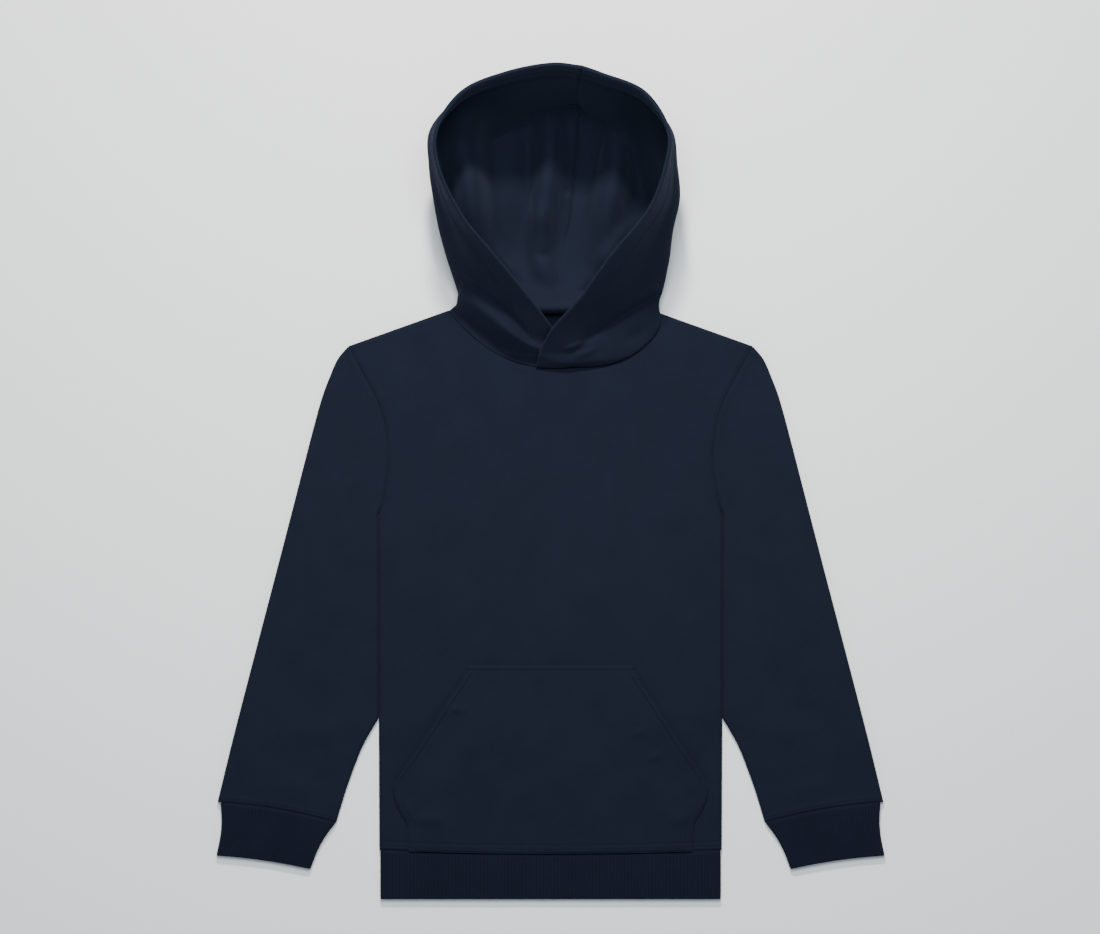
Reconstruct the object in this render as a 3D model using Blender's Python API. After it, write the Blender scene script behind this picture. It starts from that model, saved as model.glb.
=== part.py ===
"""Toddler pullover hoodie laid flat on its back, its hood standing open like a bowl.

Each piece that is cut and sewn is one closed wall of cloth. Sizes are in millimetres and MM turns
them into metres. +Y runs from the hem to the hood, +Z is up, and +X is the wearer's left, because
the garment lies face up. The origin is the middle of the footprint, on the surface underneath.
"""

import math
from collections import namedtuple

import bmesh
import bpy
import numpy as np

MM = 0.001

# Cloth
WALL = 2.2                # brushed sweatshirt fleece
RIM_WALL = 3.0            # the turned and stitched edge of the hood
SEAM_GAP = 0.3            # between any two sewn pieces
LAID_HALF = 2.9           # half the height of two layers laid on each other
BODY_CROWN = 1.1          # how much the front lifts off the back in the middle

# Body, front and back
HEM_SEAM_Y = -272.8
HEM_SEAM_SAG = 2.6        # the hem seam dips this much at the middle
BODY_HALF_AT_HEM = 128.2
UNDERARM = (129.0, -22.4)
SHOULDER_TIP = (151.5, 104.4)
NECK_POINT = (77.0, 131.0)
FRONT_NECK_Y = 88.0
BACK_NECK_DROP = 1.5
NECK_FULLNESS = {-1: 2.2, +1: 5.5}   # power of the front neckline on each side
ARMHOLE = (                # x, y from the underarm up to the shoulder tip
    UNDERARM, (125.4, -11.0), (121.8, 14.0), (122.3, 34.0), (127.6, 58.5), (137.5, 79.0),
    SHOULDER_TIP,
)
ARMHOLE_STOPS = (8.0, 18.0, 30.0, 44.0, 60.0, 78.0, 98.0, 112.0, 123.0)   # down from the tip

# Sleeves and cuffs
SLEEVE_OUTER = (           # x, y along the outer fold, from the shoulder tip to the cuff seam
    (159.6, 94.5), (165.6, 81.0), (171.8, 64.0), (180.0, 34.0), (200.6, -46.0), (234.2, -175.0),
    (249.4, -236.8),
)
SLEEVE_INNER = (           # x, y along the inner fold, from under the arm to the cuff seam
    UNDERARM, (129.4, -60.0), (129.5, -120.0), (130.4, -171.0), (134.8, -182.5), (142.0, -198.5),
    (152.7, -227.0), (160.4, -252.0),
)
CUFF_SEAM_RISE = 2.4
CUFF_OUTER_END = (250.0, -277.0)
CUFF_INNER_END = (180.0, -287.0)
CUFF_NARROWING = 2.5       # the ribbed cuff steps in from the sleeve by this much on each side
CUFF_WAIST = 2.6           # and draws in this much further half way along

# Ribbed bands
RIB_PITCH = 2.6
RIB_HEIGHT = 0.6
BAND_END_ROUND = 1.1       # the folded end of a band is this much lower
HEM_HALF_WIDTH = 127.2
HEM_END_Y = -309.6

# Kangaroo pocket: half width at each height, from the hem seam to the top
PocketRow = namedtuple("PocketRow", "y half_width lift")
POCKET_ROWS = (
    PocketRow(-272.4, 106.0, 0.0),
    PocketRow(-253.0, 107.0, 0.0),
    PocketRow(-241.0, 114.0, 0.0),
    PocketRow(-229.0, 117.4, 0.0),
    PocketRow(-221.0, 115.4, 0.5),
    PocketRow(-200.0, 101.8, 1.2),
    PocketRow(-180.0, 88.9, 1.4),
    PocketRow(-160.0, 76.1, 1.2),
    PocketRow(-143.0, 65.2, 0.4),
    PocketRow(-138.0, 62.4, 0.0),
    PocketRow(-134.3, 62.2, 0.0),
)

# Hood: one row per line sewn or folded across it, from the neck seam up to the crown. Each line
# starts at the seam down the back of the head, lies on the surface, climbs the side and ends at
# the open edge. x is measured outwards from the middle on either side, so it is negative past it.
# Only seam_x is towards +X on both, where the hood's seam has slipped to.
HoodLine = namedtuple("HoodLine", "name seam_x seam_y side front_a front_b front_c rim")
FLOOR_SHARE = 0.72         # share of a line's reach that lies on the surface
HOOD_RIGHT_LINES = (
    HoodLine("foot", 0.0, 132.0, (73.0, 133.0, 5.5), (56.0, 119.5, 11.5), (30.0, 102.5, 11.5),
             (9.0, 96.0, 10.5), (-9.8, 93.5, 10.0)),
    HoodLine("roll", 0.3, 134.5, (69.3, 136.5, 8.5), (59.0, 131.0, 18.0), (30.0, 112.0, 18.5),
             (10.0, 102.5, 16.0), (-7.5, 99.5, 15.0)),
    HoodLine("valley", 0.9, 139.0, (68.2, 141.0, 9.5), (60.5, 143.0, 18.5), (30.0, 127.0, 16.5),
             (11.0, 114.0, 18.5), (-4.5, 108.5, 21.0)),
    HoodLine("chin", 2.5, 146.7, (70.2, 149.0, 14.0), (62.5, 150.0, 26.0), (31.0, 138.0, 25.0),
             (14.0, 127.0, 27.5), (-0.4, 117.3, 30.5)),
    HoodLine("jaw", 7.0, 164.7, (76.3, 166.6, 32.0), None, None, None, (19.4, 141.4, 53.0)),
    HoodLine("cheek", 12.0, 186.0, (81.9, 188.1, 46.0), None, None, None, (41.5, 166.9, 76.0)),
    HoodLine("ear", 15.2, 207.0, (85.4, 211.1, 52.0), None, None, None, (65.0, 194.2, 96.0)),
    HoodLine("temple", 17.6, 228.0, (87.4, 234.9, 56.0), None, None, None, (81.4, 227.4, 110.0)),
    HoodLine("brow", 19.4, 246.0, (85.4, 262.0, 58.0), None, None, None, (82.5, 255.0, 116.0)),
    HoodLine("corner", 20.4, 260.0, (66.6, 288.0, 60.0), None, None, None, (63.7, 282.2, 117.0)),
    HoodLine("top", 20.8, 270.5, (34.5, 302.8, 60.0), None, None, None, (32.4, 295.9, 116.0)),
    HoodLine("middle", 20.8, 277.8, (0.0, 308.7, 60.0), None, None, None, (0.0, 302.3, 115.0)),
    HoodLine("crown", 20.6, 284.7, (-19.0, 307.6, 60.0), None, None, None, (-18.4, 301.3, 115.0)),
)
HOOD_LEFT_LINES = (
    HoodLine("foot", 0.0, 132.0, (77.8, 133.6, 7.0), (81.5, 116.0, 13.0), (58.0, 98.5, 12.0),
             (16.0, 92.5, 13.0), (-9.3, 95.5, 15.5)),
    HoodLine("roll", 0.3, 134.5, (80.0, 138.5, 11.0), (73.0, 125.0, 20.0), (44.0, 104.5, 19.0),
             (15.0, 98.0, 19.5), (-7.8, 99.8, 20.0)),
    HoodLine("valley", 0.9, 139.0, (82.6, 145.5, 14.0), (69.0, 132.5, 20.0), (38.0, 111.5, 18.5),
             (14.0, 108.0, 25.5), (-4.0, 107.0, 26.5)),
    HoodLine("chin", 2.5, 146.7, (84.3, 152.0, 19.0), (69.5, 144.0, 28.5), (38.0, 127.5, 29.0),
             (16.0, 120.0, 34.0), (2.6, 117.0, 36.0)),
    HoodLine("jaw", 7.0, 164.7, (88.1, 168.0, 32.0), None, None, None, (23.8, 139.2, 54.0)),
    HoodLine("cheek", 12.0, 186.0, (90.0, 188.1, 46.0), None, None, None, (45.3, 167.6, 77.0)),
    HoodLine("ear", 15.2, 207.0, (94.2, 211.1, 52.0), None, None, None, (70.8, 197.1, 97.0)),
    HoodLine("temple", 17.6, 228.0, (91.2, 234.9, 56.0), None, None, None, (83.5, 228.8, 110.0)),
    HoodLine("brow", 19.4, 246.0, (86.4, 262.0, 58.0), None, None, None, (85.0, 255.0, 116.0)),
    HoodLine("corner", 20.4, 260.0, (68.4, 288.0, 60.0), None, None, None, (67.3, 282.2, 117.0)),
    HoodLine("top", 20.8, 270.5, (38.2, 302.4, 60.0), None, None, None, (36.4, 295.3, 116.0)),
    HoodLine("crown", 20.6, 284.7, (19.0, 307.6, 60.0), None, None, None, (18.4, 301.3, 115.0)),
)
HOOD_RIM_PAST_MIDDLE = 11.6    # how far the lower edge of each half crosses the middle
HOOD_OVERLAP_LIFT = 3.5        # the left half's edge lies this much higher, on the right half
OVERLAP_START = 24.0           # x where it begins to climb there
OVERLAP_CLIMB = 12.0           # and how far on it has climbed
SLUMP_LIFT = 1.3               # the left half's foot where it stands up and slumps over the front
HOOD_FRONT_RISE = (0.36, 0.64, 0.84)   # share of the climb at the three points of the front
HOOD_FRONT_RUN = (0.31, 0.57, 0.80)    # share of the way over at the same points

# Mesh density
FOLD_STEPS = 3             # steps around a fold's quarter turn
SHOULDER_COLUMNS = (115.0,)                                    # x of columns at the top edge
BACK_NECK_COLUMNS = (77.0, 74.1, 66.0, 56.0, 45.0, 34.0, 22.0, 11.0)
NECK_COLUMNS = (77.0, 76.2) + BACK_NECK_COLUMNS[1:]            # the front's edge turns steeply
FLOOR_COLUMN = 4           # last column of the hood, from its back seam, that lies on the surface
BODY_ROWS = (0.0, 0.02, 0.33, 0.67, 0.96, 1.0)           # hem to underarm
SLEEVE_ROWS = (0.0, 0.04, 0.2, 0.38, 0.52, 0.62, 0.72, 0.86, 1.0)   # underarm to cuff
HOOD_ROWS = (               # in lines up from the neck, and by halves from there on
    0.0, 0.5, 1.0, 1.5, 2.0, 2.5, 3.0, 3.5, 4.0, 4.6, 5.3, 6.0, 7.0, 8.0,
)
PLAIN_COLUMNS = 6          # across the plain underside of a band
ROUTE_SAMPLES = 24

# Colours, linear
NAVY_FLEECE = (0.0140, 0.0195, 0.0340, 1.0)
NAVY_RIB = (0.0100, 0.0140, 0.0250, 1.0)


# ---------------------------------------------------------------- outlines

def spline_point(points, place):
    """Point of the smooth curve through points, where whole numbers of place are the points."""
    points = np.asarray(points, float)
    last = len(points) - 1
    start = int(min(max(math.floor(place), 0), last - 1))
    f = place - start
    p1, p2 = points[start], points[start + 1]
    p0 = points[start - 1] if start > 0 else 2 * p1 - p2
    p3 = points[start + 2] if start + 2 <= last else 2 * p2 - p1
    return 0.5 * (2 * p1 + (p2 - p0) * f + (2 * p0 - 5 * p1 + 4 * p2 - p3) * f ** 2
                  + (3 * p1 - 3 * p2 + p3 - p0) * f ** 3)


class Route:
    """An outline of smooth stretches, each through a few points, walked by the share of length."""

    def __init__(self, *stretches):
        line = []
        for points in stretches:
            steps = np.linspace(0, len(points) - 1, (len(points) - 1) * ROUTE_SAMPLES + 1)
            line += [spline_point(points, step) for step in steps]
        self.line = np.array(line)
        reach = np.linalg.norm(np.diff(self.line, axis=0), axis=1)
        self.walked = np.concatenate(([0.0], np.cumsum(reach)))
        self.length = self.walked[-1]

    def at(self, share):
        place = share * self.length
        return np.array([np.interp(place, self.walked, axis) for axis in self.line.T])

    def share_at_y(self, y):
        return float(self.walked[np.argmin(np.abs(self.line[:, 1] - y))] / self.length)


def front_neck_y(x):
    side = 1 if x > 0 else -1
    reach = min(abs(x) / NECK_POINT[0], 1.0)
    return FRONT_NECK_Y + (NECK_POINT[1] - FRONT_NECK_Y) * reach ** NECK_FULLNESS[side]


def back_neck_y(x):
    reach = min(abs(x) / NECK_POINT[0], 1.0)
    return NECK_POINT[1] - BACK_NECK_DROP * (1 - reach ** 2)


def shoulder_y(x):
    run = (abs(x) - NECK_POINT[0]) / (SHOULDER_TIP[0] - NECK_POINT[0])
    return NECK_POINT[1] + (SHOULDER_TIP[1] - NECK_POINT[1]) * run


def hem_seam_y(x):
    return HEM_SEAM_Y - HEM_SEAM_SAG * (1 - (x / BODY_HALF_AT_HEM) ** 2)


def patch(low, high, left, right, u, v):
    """Point of the sheet stretched between four outlines."""
    edges = (1 - v) * low(u) + v * high(u) + (1 - u) * left(v) + u * right(v)
    corners = ((1 - u) * (1 - v) * low(0) + u * (1 - v) * low(1)
               + (1 - u) * v * high(0) + u * v * high(1))
    return edges - corners


# ---------------------------------------------------------------- walls

def fold_steps(inner, folded, wall=WALL):
    """Distances in from an edge and heights there, from 0 to 1, for one skin of a wall.

    On a fold they go round a quarter turn. On a cut edge they run straight in at full height.
    """
    turn = LAID_HALF - wall if inner else LAID_HALF
    start = wall if inner else 0.0
    steps = []
    for step in range(FOLD_STEPS + 1):
        angle = math.pi / 2 * step / FOLD_STEPS
        round_in = start + turn * (1 - math.cos(angle))
        flat_in = LAID_HALF * step / FOLD_STEPS
        steps.append((folded * round_in + (1 - folded) * flat_in,
                      folded * math.sin(angle) + (1 - folded)))
    return steps


def add_wall(bm, outer, inner, open_edges):
    """Add one layer's outer and inner skins, and the cut faces along its open edges.

    outer and inner are grids of points. open_edges names the sides of the grid that are cut:
    left and right are its first and last columns, start and end its first and last rows.
    """
    grids = []
    for skin in (outer, inner):
        grids.append([[bm.verts.new(np.asarray(point) * MM) for point in row] for row in skin])
        rows = grids[-1]
        for low, high in zip(rows, rows[1:]):
            for k in range(len(low) - 1):
                bm.faces.new((low[k], low[k + 1], high[k + 1], high[k]))
    out, inn = grids
    borders = {
        "start": (out[0], inn[0]),
        "end": (out[-1], inn[-1]),
        "left": ([row[0] for row in out], [row[0] for row in inn]),
        "right": ([row[-1] for row in out], [row[-1] for row in inn]),
    }
    for side, is_open in open_edges.items():
        edge_out, edge_in = borders[side]
        for k in range(len(edge_out) - 1):
            if is_open is True or is_open(k):
                bm.faces.new((edge_out[k], edge_out[k + 1], edge_in[k + 1], edge_in[k]))


def make_piece(name, bm, material):
    """Weld a piece's layers into one closed body, turn its faces out and put it in the scene."""
    bmesh.ops.remove_doubles(bm, verts=bm.verts, dist=0.02 * MM)
    bmesh.ops.dissolve_degenerate(bm, dist=0.005 * MM, edges=bm.edges)
    bmesh.ops.recalc_face_normals(bm, faces=bm.faces)
    mesh = bpy.data.meshes.new(name)
    bm.to_mesh(mesh)
    bm.free()
    mesh.shade_smooth()
    mesh.set_sharp_from_angle(angle=math.radians(50))
    mesh.materials.append(material)
    piece = bpy.data.objects.new(name, mesh)
    GARMENT.objects.link(piece)
    return piece


def cloth_material(name, colour, roughness):
    material = bpy.data.materials.new(name)
    material.use_nodes = True
    shader = material.node_tree.nodes["Principled BSDF"]
    shader.inputs["Base Color"].default_value = colour
    shader.inputs["Roughness"].default_value = roughness
    shader.inputs["Metallic"].default_value = 0.0
    return material


# ---------------------------------------------------------------- front and back

def body_side(direction):
    """Side and armhole of the body, from the hem to the shoulder tip."""
    side = [(BODY_HALF_AT_HEM, HEM_SEAM_Y), (BODY_HALF_AT_HEM + 0.5, -150.0), UNDERARM]
    return Route(*[[(direction * (x - SEAM_GAP / 2), y) for x, y in stretch]
                   for stretch in (side, ARMHOLE)])


BODY_LEFT_EDGE = body_side(-1)
BODY_RIGHT_EDGE = body_side(+1)
UNDERARM_SHARE = BODY_LEFT_EDGE.share_at_y(UNDERARM[1])


def body_point(u, v, neck_y):
    """Place on the laid body: u runs from side to side, v from the hem up to the top edge."""
    def low(share):
        x = BODY_LEFT_EDGE.at(0)[0] * (1 - 2 * share)
        return np.array([x, hem_seam_y(x)])

    def high(share):
        x = BODY_LEFT_EDGE.at(1)[0] * (1 - 2 * share)
        return np.array([x, shoulder_y(x) if abs(x) > NECK_POINT[0] else neck_y(x)])

    return patch(low, high, BODY_LEFT_EDGE.at, BODY_RIGHT_EDGE.at, u, v)


def body_columns(inner, folded, width):
    """Shares across a body row, with heights, for the fold or cut at each side."""
    side = fold_steps(inner, folded)
    half = abs(BODY_LEFT_EDGE.at(1)[0])
    across = [(half - x) / (2 * half) for x in SHOULDER_COLUMNS + NECK_COLUMNS]
    left = [(reach / width, height) for reach, height in side] + [(u, 1.0) for u in across]
    return left + [(0.5, 1.0)] + [(1 - u, height) for u, height in reversed(left)]


def body_skin(inner, neck_y, level):
    """One skin of the front or back as a grid; level gives a point's height above mid-height."""
    flat_rows = [UNDERARM_SHARE * share for share in BODY_ROWS]
    flat_rows += [1.0 - stop / BODY_LEFT_EDGE.length for stop in reversed(ARMHOLE_STOPS)]
    rows = [(v, 0.0) for v in flat_rows] + [(1.0, step) for step in range(FOLD_STEPS, -1, -1)]
    grid = []
    for v, step in rows:
        folded = 1.0 if v <= UNDERARM_SHARE + 1e-6 else 0.0
        width = 2 * abs(BODY_LEFT_EDGE.at(v)[0])
        line = []
        for u, height in body_columns(inner, folded, width):
            x_top = BODY_LEFT_EDGE.at(1)[0] * (1 - 2 * u)
            on_shoulder = 1.0 if abs(x_top) >= NECK_POINT[0] - 0.01 else 0.0
            place = v
            if v == 1.0:
                reach, rise = fold_steps(inner, on_shoulder)[step]
                place = 1.0 - reach / BODY_LEFT_EDGE.length
                height = height * rise
            x, y = body_point(u, place, neck_y)
            line.append((x, y, LAID_HALF + level(u, place, height)))
        grid.append(line)
    return grid


def front_level(wall):
    """Height of a skin of the front above mid-height, wall below its outer face."""
    half_gap = SEAM_GAP / 2
    top = LAID_HALF - wall - half_gap

    def level(u, v, height):
        crown = BODY_CROWN * math.sin(math.pi * min(max(u, 0), 1)) ** 0.7 * math.sin(math.pi * v)
        return half_gap + (top + max(crown, 0.0)) * height

    return level


def back_level(wall):
    half_gap = SEAM_GAP / 2
    bottom = LAID_HALF - wall - half_gap
    return lambda u, v, height: -half_gap - bottom * height


def make_front():
    bm = bmesh.new()
    cut = {"start": True, "end": True, "left": True, "right": True}
    add_wall(bm, body_skin(False, front_neck_y, front_level(0.0)),
             body_skin(True, front_neck_y, front_level(WALL)), cut)
    return make_piece("front", bm, FLEECE)


def make_back():
    bm = bmesh.new()
    cut = {"start": True, "end": True, "left": True, "right": True}
    add_wall(bm, body_skin(False, back_neck_y, back_level(0.0)),
             body_skin(True, back_neck_y, back_level(WALL)), cut)
    return make_piece("back", bm, FLEECE)


# ---------------------------------------------------------------- sleeves

SLEEVE_OUTER_EDGE = Route((SHOULDER_TIP,) + SLEEVE_OUTER)
SLEEVE_INNER_EDGE = Route(*[[(x + SEAM_GAP / 2, y) for x, y in stretch]
                            for stretch in (ARMHOLE[::-1], SLEEVE_INNER)])
ARMHOLE_SHARE = SLEEVE_INNER_EDGE.share_at_y(UNDERARM[1])


def cuff_seam(share):
    """Seam between sleeve and cuff, from the outer to the inner fold."""
    outer, inner = SLEEVE_OUTER_EDGE.at(1), SLEEVE_INNER_EDGE.at(1)
    rise = CUFF_SEAM_RISE * math.sin(math.pi * share)
    return outer + (inner - outer) * share + np.array([0.0, rise])


def sleeve_point(u, v):
    """Place on the laid sleeve: u runs from outer to inner fold, v from the shoulder to the cuff."""
    outer_tip, inner_tip = SLEEVE_OUTER_EDGE.at(0), SLEEVE_INNER_EDGE.at(0)

    def tip(share):
        return outer_tip + (inner_tip - outer_tip) * share

    return patch(tip, cuff_seam, SLEEVE_OUTER_EDGE.at, SLEEVE_INNER_EDGE.at, u, v)


def sleeve_skin(inner, side, direction):
    """One skin of one layer of a sleeve; side is +1 for the upper layer, -1 for the lower."""
    wall = WALL if inner else 0.0
    tip = (WALL if inner else 0.0) / SLEEVE_INNER_EDGE.length
    rows = [tip * 1.25] + [stop / SLEEVE_INNER_EDGE.length for stop in ARMHOLE_STOPS]
    rows += [ARMHOLE_SHARE + (1 - ARMHOLE_SHARE) * share for share in SLEEVE_ROWS]
    grid = []
    for number, v in enumerate(rows):
        width = float(np.linalg.norm(SLEEVE_INNER_EDGE.at(v) - SLEEVE_OUTER_EDGE.at(v)))
        folded = 1.0 if v >= ARMHOLE_SHARE - 1e-6 else 0.0
        outer_steps, inner_steps = fold_steps(inner, 1.0), fold_steps(inner, folded)
        squeeze = min(1.0, width / (3.2 * LAID_HALF))
        columns = [(reach * squeeze / width, height) for reach, height in outer_steps]
        first, last = columns[-1][0], 1 - LAID_HALF * squeeze / width
        columns += [(first + (last - first) * share, 1.0) for share in (0.2, 0.4, 0.6, 0.8)]
        columns += [(1 - reach * squeeze / width, height) for reach, height in reversed(inner_steps)]
        line = []
        for u, height in columns:
            if number == 0:
                u, height = 1.0, 0.0
            x, y = sleeve_point(u, v)
            line.append((direction * x, y, LAID_HALF + side * (LAID_HALF - wall) * height))
        grid.append(line)
    return grid


def make_sleeve(name, direction):
    bm = bmesh.new()
    for side in (+1, -1):
        outer = sleeve_skin(False, side, direction)
        inner = sleeve_skin(True, side, direction)
        armhole_rows = sum(1 for row in outer if abs(row[-1][2] - LAID_HALF) > 0.01) + 1
        cut = {"end": True, "right": lambda k, rows=armhole_rows: k < rows}
        add_wall(bm, outer, inner, cut)
    return make_piece(name, bm, FLEECE)


# ---------------------------------------------------------------- ribbed bands

def band_grid(place, ribs, side, inner, rows):
    """Skin of one layer of a flattened ribbed tube.

    place gives a point of the laid band from its share across and along; rows lists the share of
    the length, the height of the ribs and how far the skin is let down there.
    """
    grid = []
    turn = LAID_HALF - WALL if inner else LAID_HALF
    inset = WALL if inner else 0.0
    quarter = math.pi / 2 * LAID_HALF
    for share, rib_height, lowered in rows:
        width = float(np.linalg.norm(place(1, share) - place(0, share)))
        whole = width - 2 * LAID_HALF + 2 * quarter
        line = []
        count = 2 * ribs
        for k in range(count + 1):
            walked = whole * min(k, count - k) / count
            if walked < quarter:
                angle = walked / LAID_HALF
                reach, level = inset + turn * (1 - math.cos(angle)), turn * math.sin(angle)
                facing = (-math.cos(angle), math.sin(angle))
            else:
                reach, level, facing = LAID_HALF + walked - quarter, turn, (0.0, 1.0)
            raised = rib_height if k % 2 and not inner else 0.0
            reach += facing[0] * raised
            level += facing[1] * raised
            level = max(level - lowered * level / turn, 0.0)
            u = reach / width if k <= count / 2 else 1 - reach / width
            x, y = place(u, share)
            line.append((x, y, LAID_HALF + side * level))
        grid.append(line)
    return grid


def make_band(name, place, length, ribs):
    """Ribbed tube laid flat: ribs on its upper layer and plain where it rests."""
    bm = bmesh.new()
    near = 2.0 / length
    ribbed = ((0.0, 0.0, 0.0), (near, RIB_HEIGHT, 0.0), (0.5, RIB_HEIGHT, 0.0),
              (1 - near, RIB_HEIGHT, 0.1), (1.0, 0.0, BAND_END_ROUND))
    plain = ((0.0, 0.0, 0.0), (0.5, 0.0, 0.0), (1.0, 0.0, 0.0))
    lower = tuple((share, 0.0, 0.0) for share, _, _ in ribbed)
    cut = {"start": True, "end": True}
    add_wall(bm, band_grid(place, ribs, +1, False, ribbed),
             band_grid(place, ribs, +1, True, plain), cut)
    add_wall(bm, band_grid(place, PLAIN_COLUMNS, -1, False, lower),
             band_grid(place, PLAIN_COLUMNS, -1, True, plain), cut)
    return make_piece(name, bm, RIB)


def make_hem_band():
    def place(across, along):
        x = HEM_HALF_WIDTH * (2 * across - 1)
        return np.array([x, (1 - along) * (hem_seam_y(x) - SEAM_GAP) + along * HEM_END_Y])

    ribs = round(2 * HEM_HALF_WIDTH / RIB_PITCH)
    return make_band("hem_band", place, HEM_SEAM_Y - HEM_END_Y, ribs)


def make_cuff(name, direction):
    mirror = np.array([direction, 1.0])
    outer_end, inner_end = np.array(CUFF_OUTER_END), np.array(CUFF_INNER_END)
    width = float(np.linalg.norm(cuff_seam(1) - cuff_seam(0)))

    def place(across, along):
        drawn_in = (CUFF_NARROWING * (1 - along) + CUFF_WAIST * math.sin(math.pi * along)) / width
        share = drawn_in + across * (1 - 2 * drawn_in)
        seam = cuff_seam(share) - [0.0, SEAM_GAP]
        end = outer_end + (inner_end - outer_end) * share
        return (seam * (1 - along) + end * along) * mirror

    return make_band(name, place, cuff_seam(0)[1] - CUFF_OUTER_END[1], round(width / RIB_PITCH))


# ---------------------------------------------------------------- pocket

def make_pocket():
    """Pocket laid on the front: its points are the front's, moved out by a gap and a wall."""
    level = front_level(0.0)

    def front_height(x, y):
        low, high = hem_seam_y(x), front_neck_y(x) if abs(x) < NECK_POINT[0] else shoulder_y(x)
        return LAID_HALF + level((x / BODY_HALF_AT_HEM + 1) / 2, (y - low) / (high - low), 1.0)

    def skin(raised):
        grid = []
        for number, row in enumerate(POCKET_ROWS):
            line = []
            for step in range(-6, 7):
                x = row.half_width * step / 6
                y = row.y if number else hem_seam_y(x) + SEAM_GAP
                lift = row.lift * (abs(step) / 6) ** 6
                line.append((x, y, front_height(x, y) + SEAM_GAP + lift + raised))
            grid.append(line)
        return grid

    bm = bmesh.new()
    cut = {"start": True, "end": True, "left": True, "right": True}
    add_wall(bm, skin(WALL), skin(0.0), cut)
    return make_piece("pocket", bm, FLEECE)


# ---------------------------------------------------------------- hood

def back_foot(side, x):
    """Foot of the hood on the back's neck edge, at x outwards from the middle."""
    turn = min((NECK_POINT[0] - x) / LAID_HALF, 1.0)
    z = LAID_HALF * (1 - math.sqrt(1 - (1 - turn) ** 2))
    return np.array([side * x, back_neck_y(x) + SEAM_GAP, z])


def overlapped(side, x):
    """How far the left half has climbed onto the right half, from 0 to 1."""
    run = min(max((OVERLAP_START - x) / OVERLAP_CLIMB, 0.0), 1.0) if side > 0 else 0.0
    return run * run * (3 - 2 * run)


def front_foot(side, x):
    """Foot of the hood on the front's neck edge; x is below 0 past the middle."""
    place = side * x
    slope = (front_neck_y(place + 0.1) - front_neck_y(place - 0.1)) / 0.2
    steep = math.hypot(slope, 1.0)
    away = min((NECK_POINT[0] - abs(x)) * steep / LAID_HALF, 1.0)
    z = LAID_HALF * (1 + math.sqrt(1 - (1 - away) ** 2))
    if side > 0:
        over = overlapped(side, x)
        z += HOOD_OVERLAP_LIFT * over + SLUMP_LIFT * (1 - over) * away
    return np.array([place, front_neck_y(place) + SEAM_GAP * 1.2 * steep, z])


def shares(points):
    """Share of the length walked at each point of a line."""
    walked = np.concatenate(([0.0], np.cumsum(np.linalg.norm(np.diff(points, axis=0), axis=1))))
    return walked / walked[-1]


def hood_controls(line, side):
    """Points that one hood line runs through, from the back seam to the open edge."""
    seam = np.array([side * line.seam_x, line.seam_y, 0.0])
    over = np.array(line.side)
    rim = np.array(line.rim)
    floor = seam + (over - seam) * FLOOR_SHARE
    floor[2] = 0.0
    fronts = [line.front_a, line.front_b, line.front_c]
    for number, point in enumerate(fronts):
        if point is None:
            run, rise = HOOD_FRONT_RUN[number], HOOD_FRONT_RISE[number]
            fronts[number] = over + (rim - over) * np.array([run, run, rise])
    points = np.array([seam, floor, over] + [np.array(p) for p in fronts] + [rim])
    points[:, 0] *= side
    return points


def hood_outer(side, lines, rows):
    """Outer skin of half the hood as a grid of points, from the neck to the crown."""
    back = [back_foot(side, x) for x in (SEAM_GAP / 2,) + BACK_NECK_COLUMNS[::-1]]
    past = (0.0, -HOOD_RIM_PAST_MIDDLE / 2, -HOOD_RIM_PAST_MIDDLE)
    front = [front_foot(side, x) for x in NECK_COLUMNS + past]
    drawn = [back + front[1:]]
    for line in lines:
        route = Route(hood_controls(line, side))
        floor, widest = route.walked[[ROUTE_SAMPLES, 2 * ROUTE_SAMPLES]] / route.length
        places = np.interp(shares(back), (0.0, shares(back)[FLOOR_COLUMN], 1.0), (0, floor, widest))
        places = list(places) + [widest + share * (1 - widest) for share in shares(front)[1:]]
        drawn.append([route.at(place) for place in places])
    drawn = np.array(drawn)
    drawn[0, 0, 0] = 0.0               # the seam's own line; each half keeps its gap to it below
    grid = np.array([[spline_point(column, row) for column in drawn.swapaxes(0, 1)]
                     for row in rows])
    grid[..., 2] = np.maximum(grid[..., 2], 0.0)
    grid[:, 0, 0] += side * SEAM_GAP / 2
    grid[-1, 1:, 0] += side * SEAM_GAP / 2
    return grid


def tangents(grid, axis):
    """Direction of a grid's lines at each point, weighted by the distances to its neighbours."""
    lines = np.moveaxis(grid, axis, 0)
    steps = np.diff(lines, axis=0)
    reach = np.linalg.norm(steps, axis=2, keepdims=True)
    unit = steps / np.maximum(reach, 1e-6)
    middle = (unit[:-1] * reach[1:] + unit[1:] * reach[:-1]) / (reach[1:] + reach[:-1])
    return np.moveaxis(np.concatenate((unit[:1], middle, unit[-1:])), 0, axis)


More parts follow.
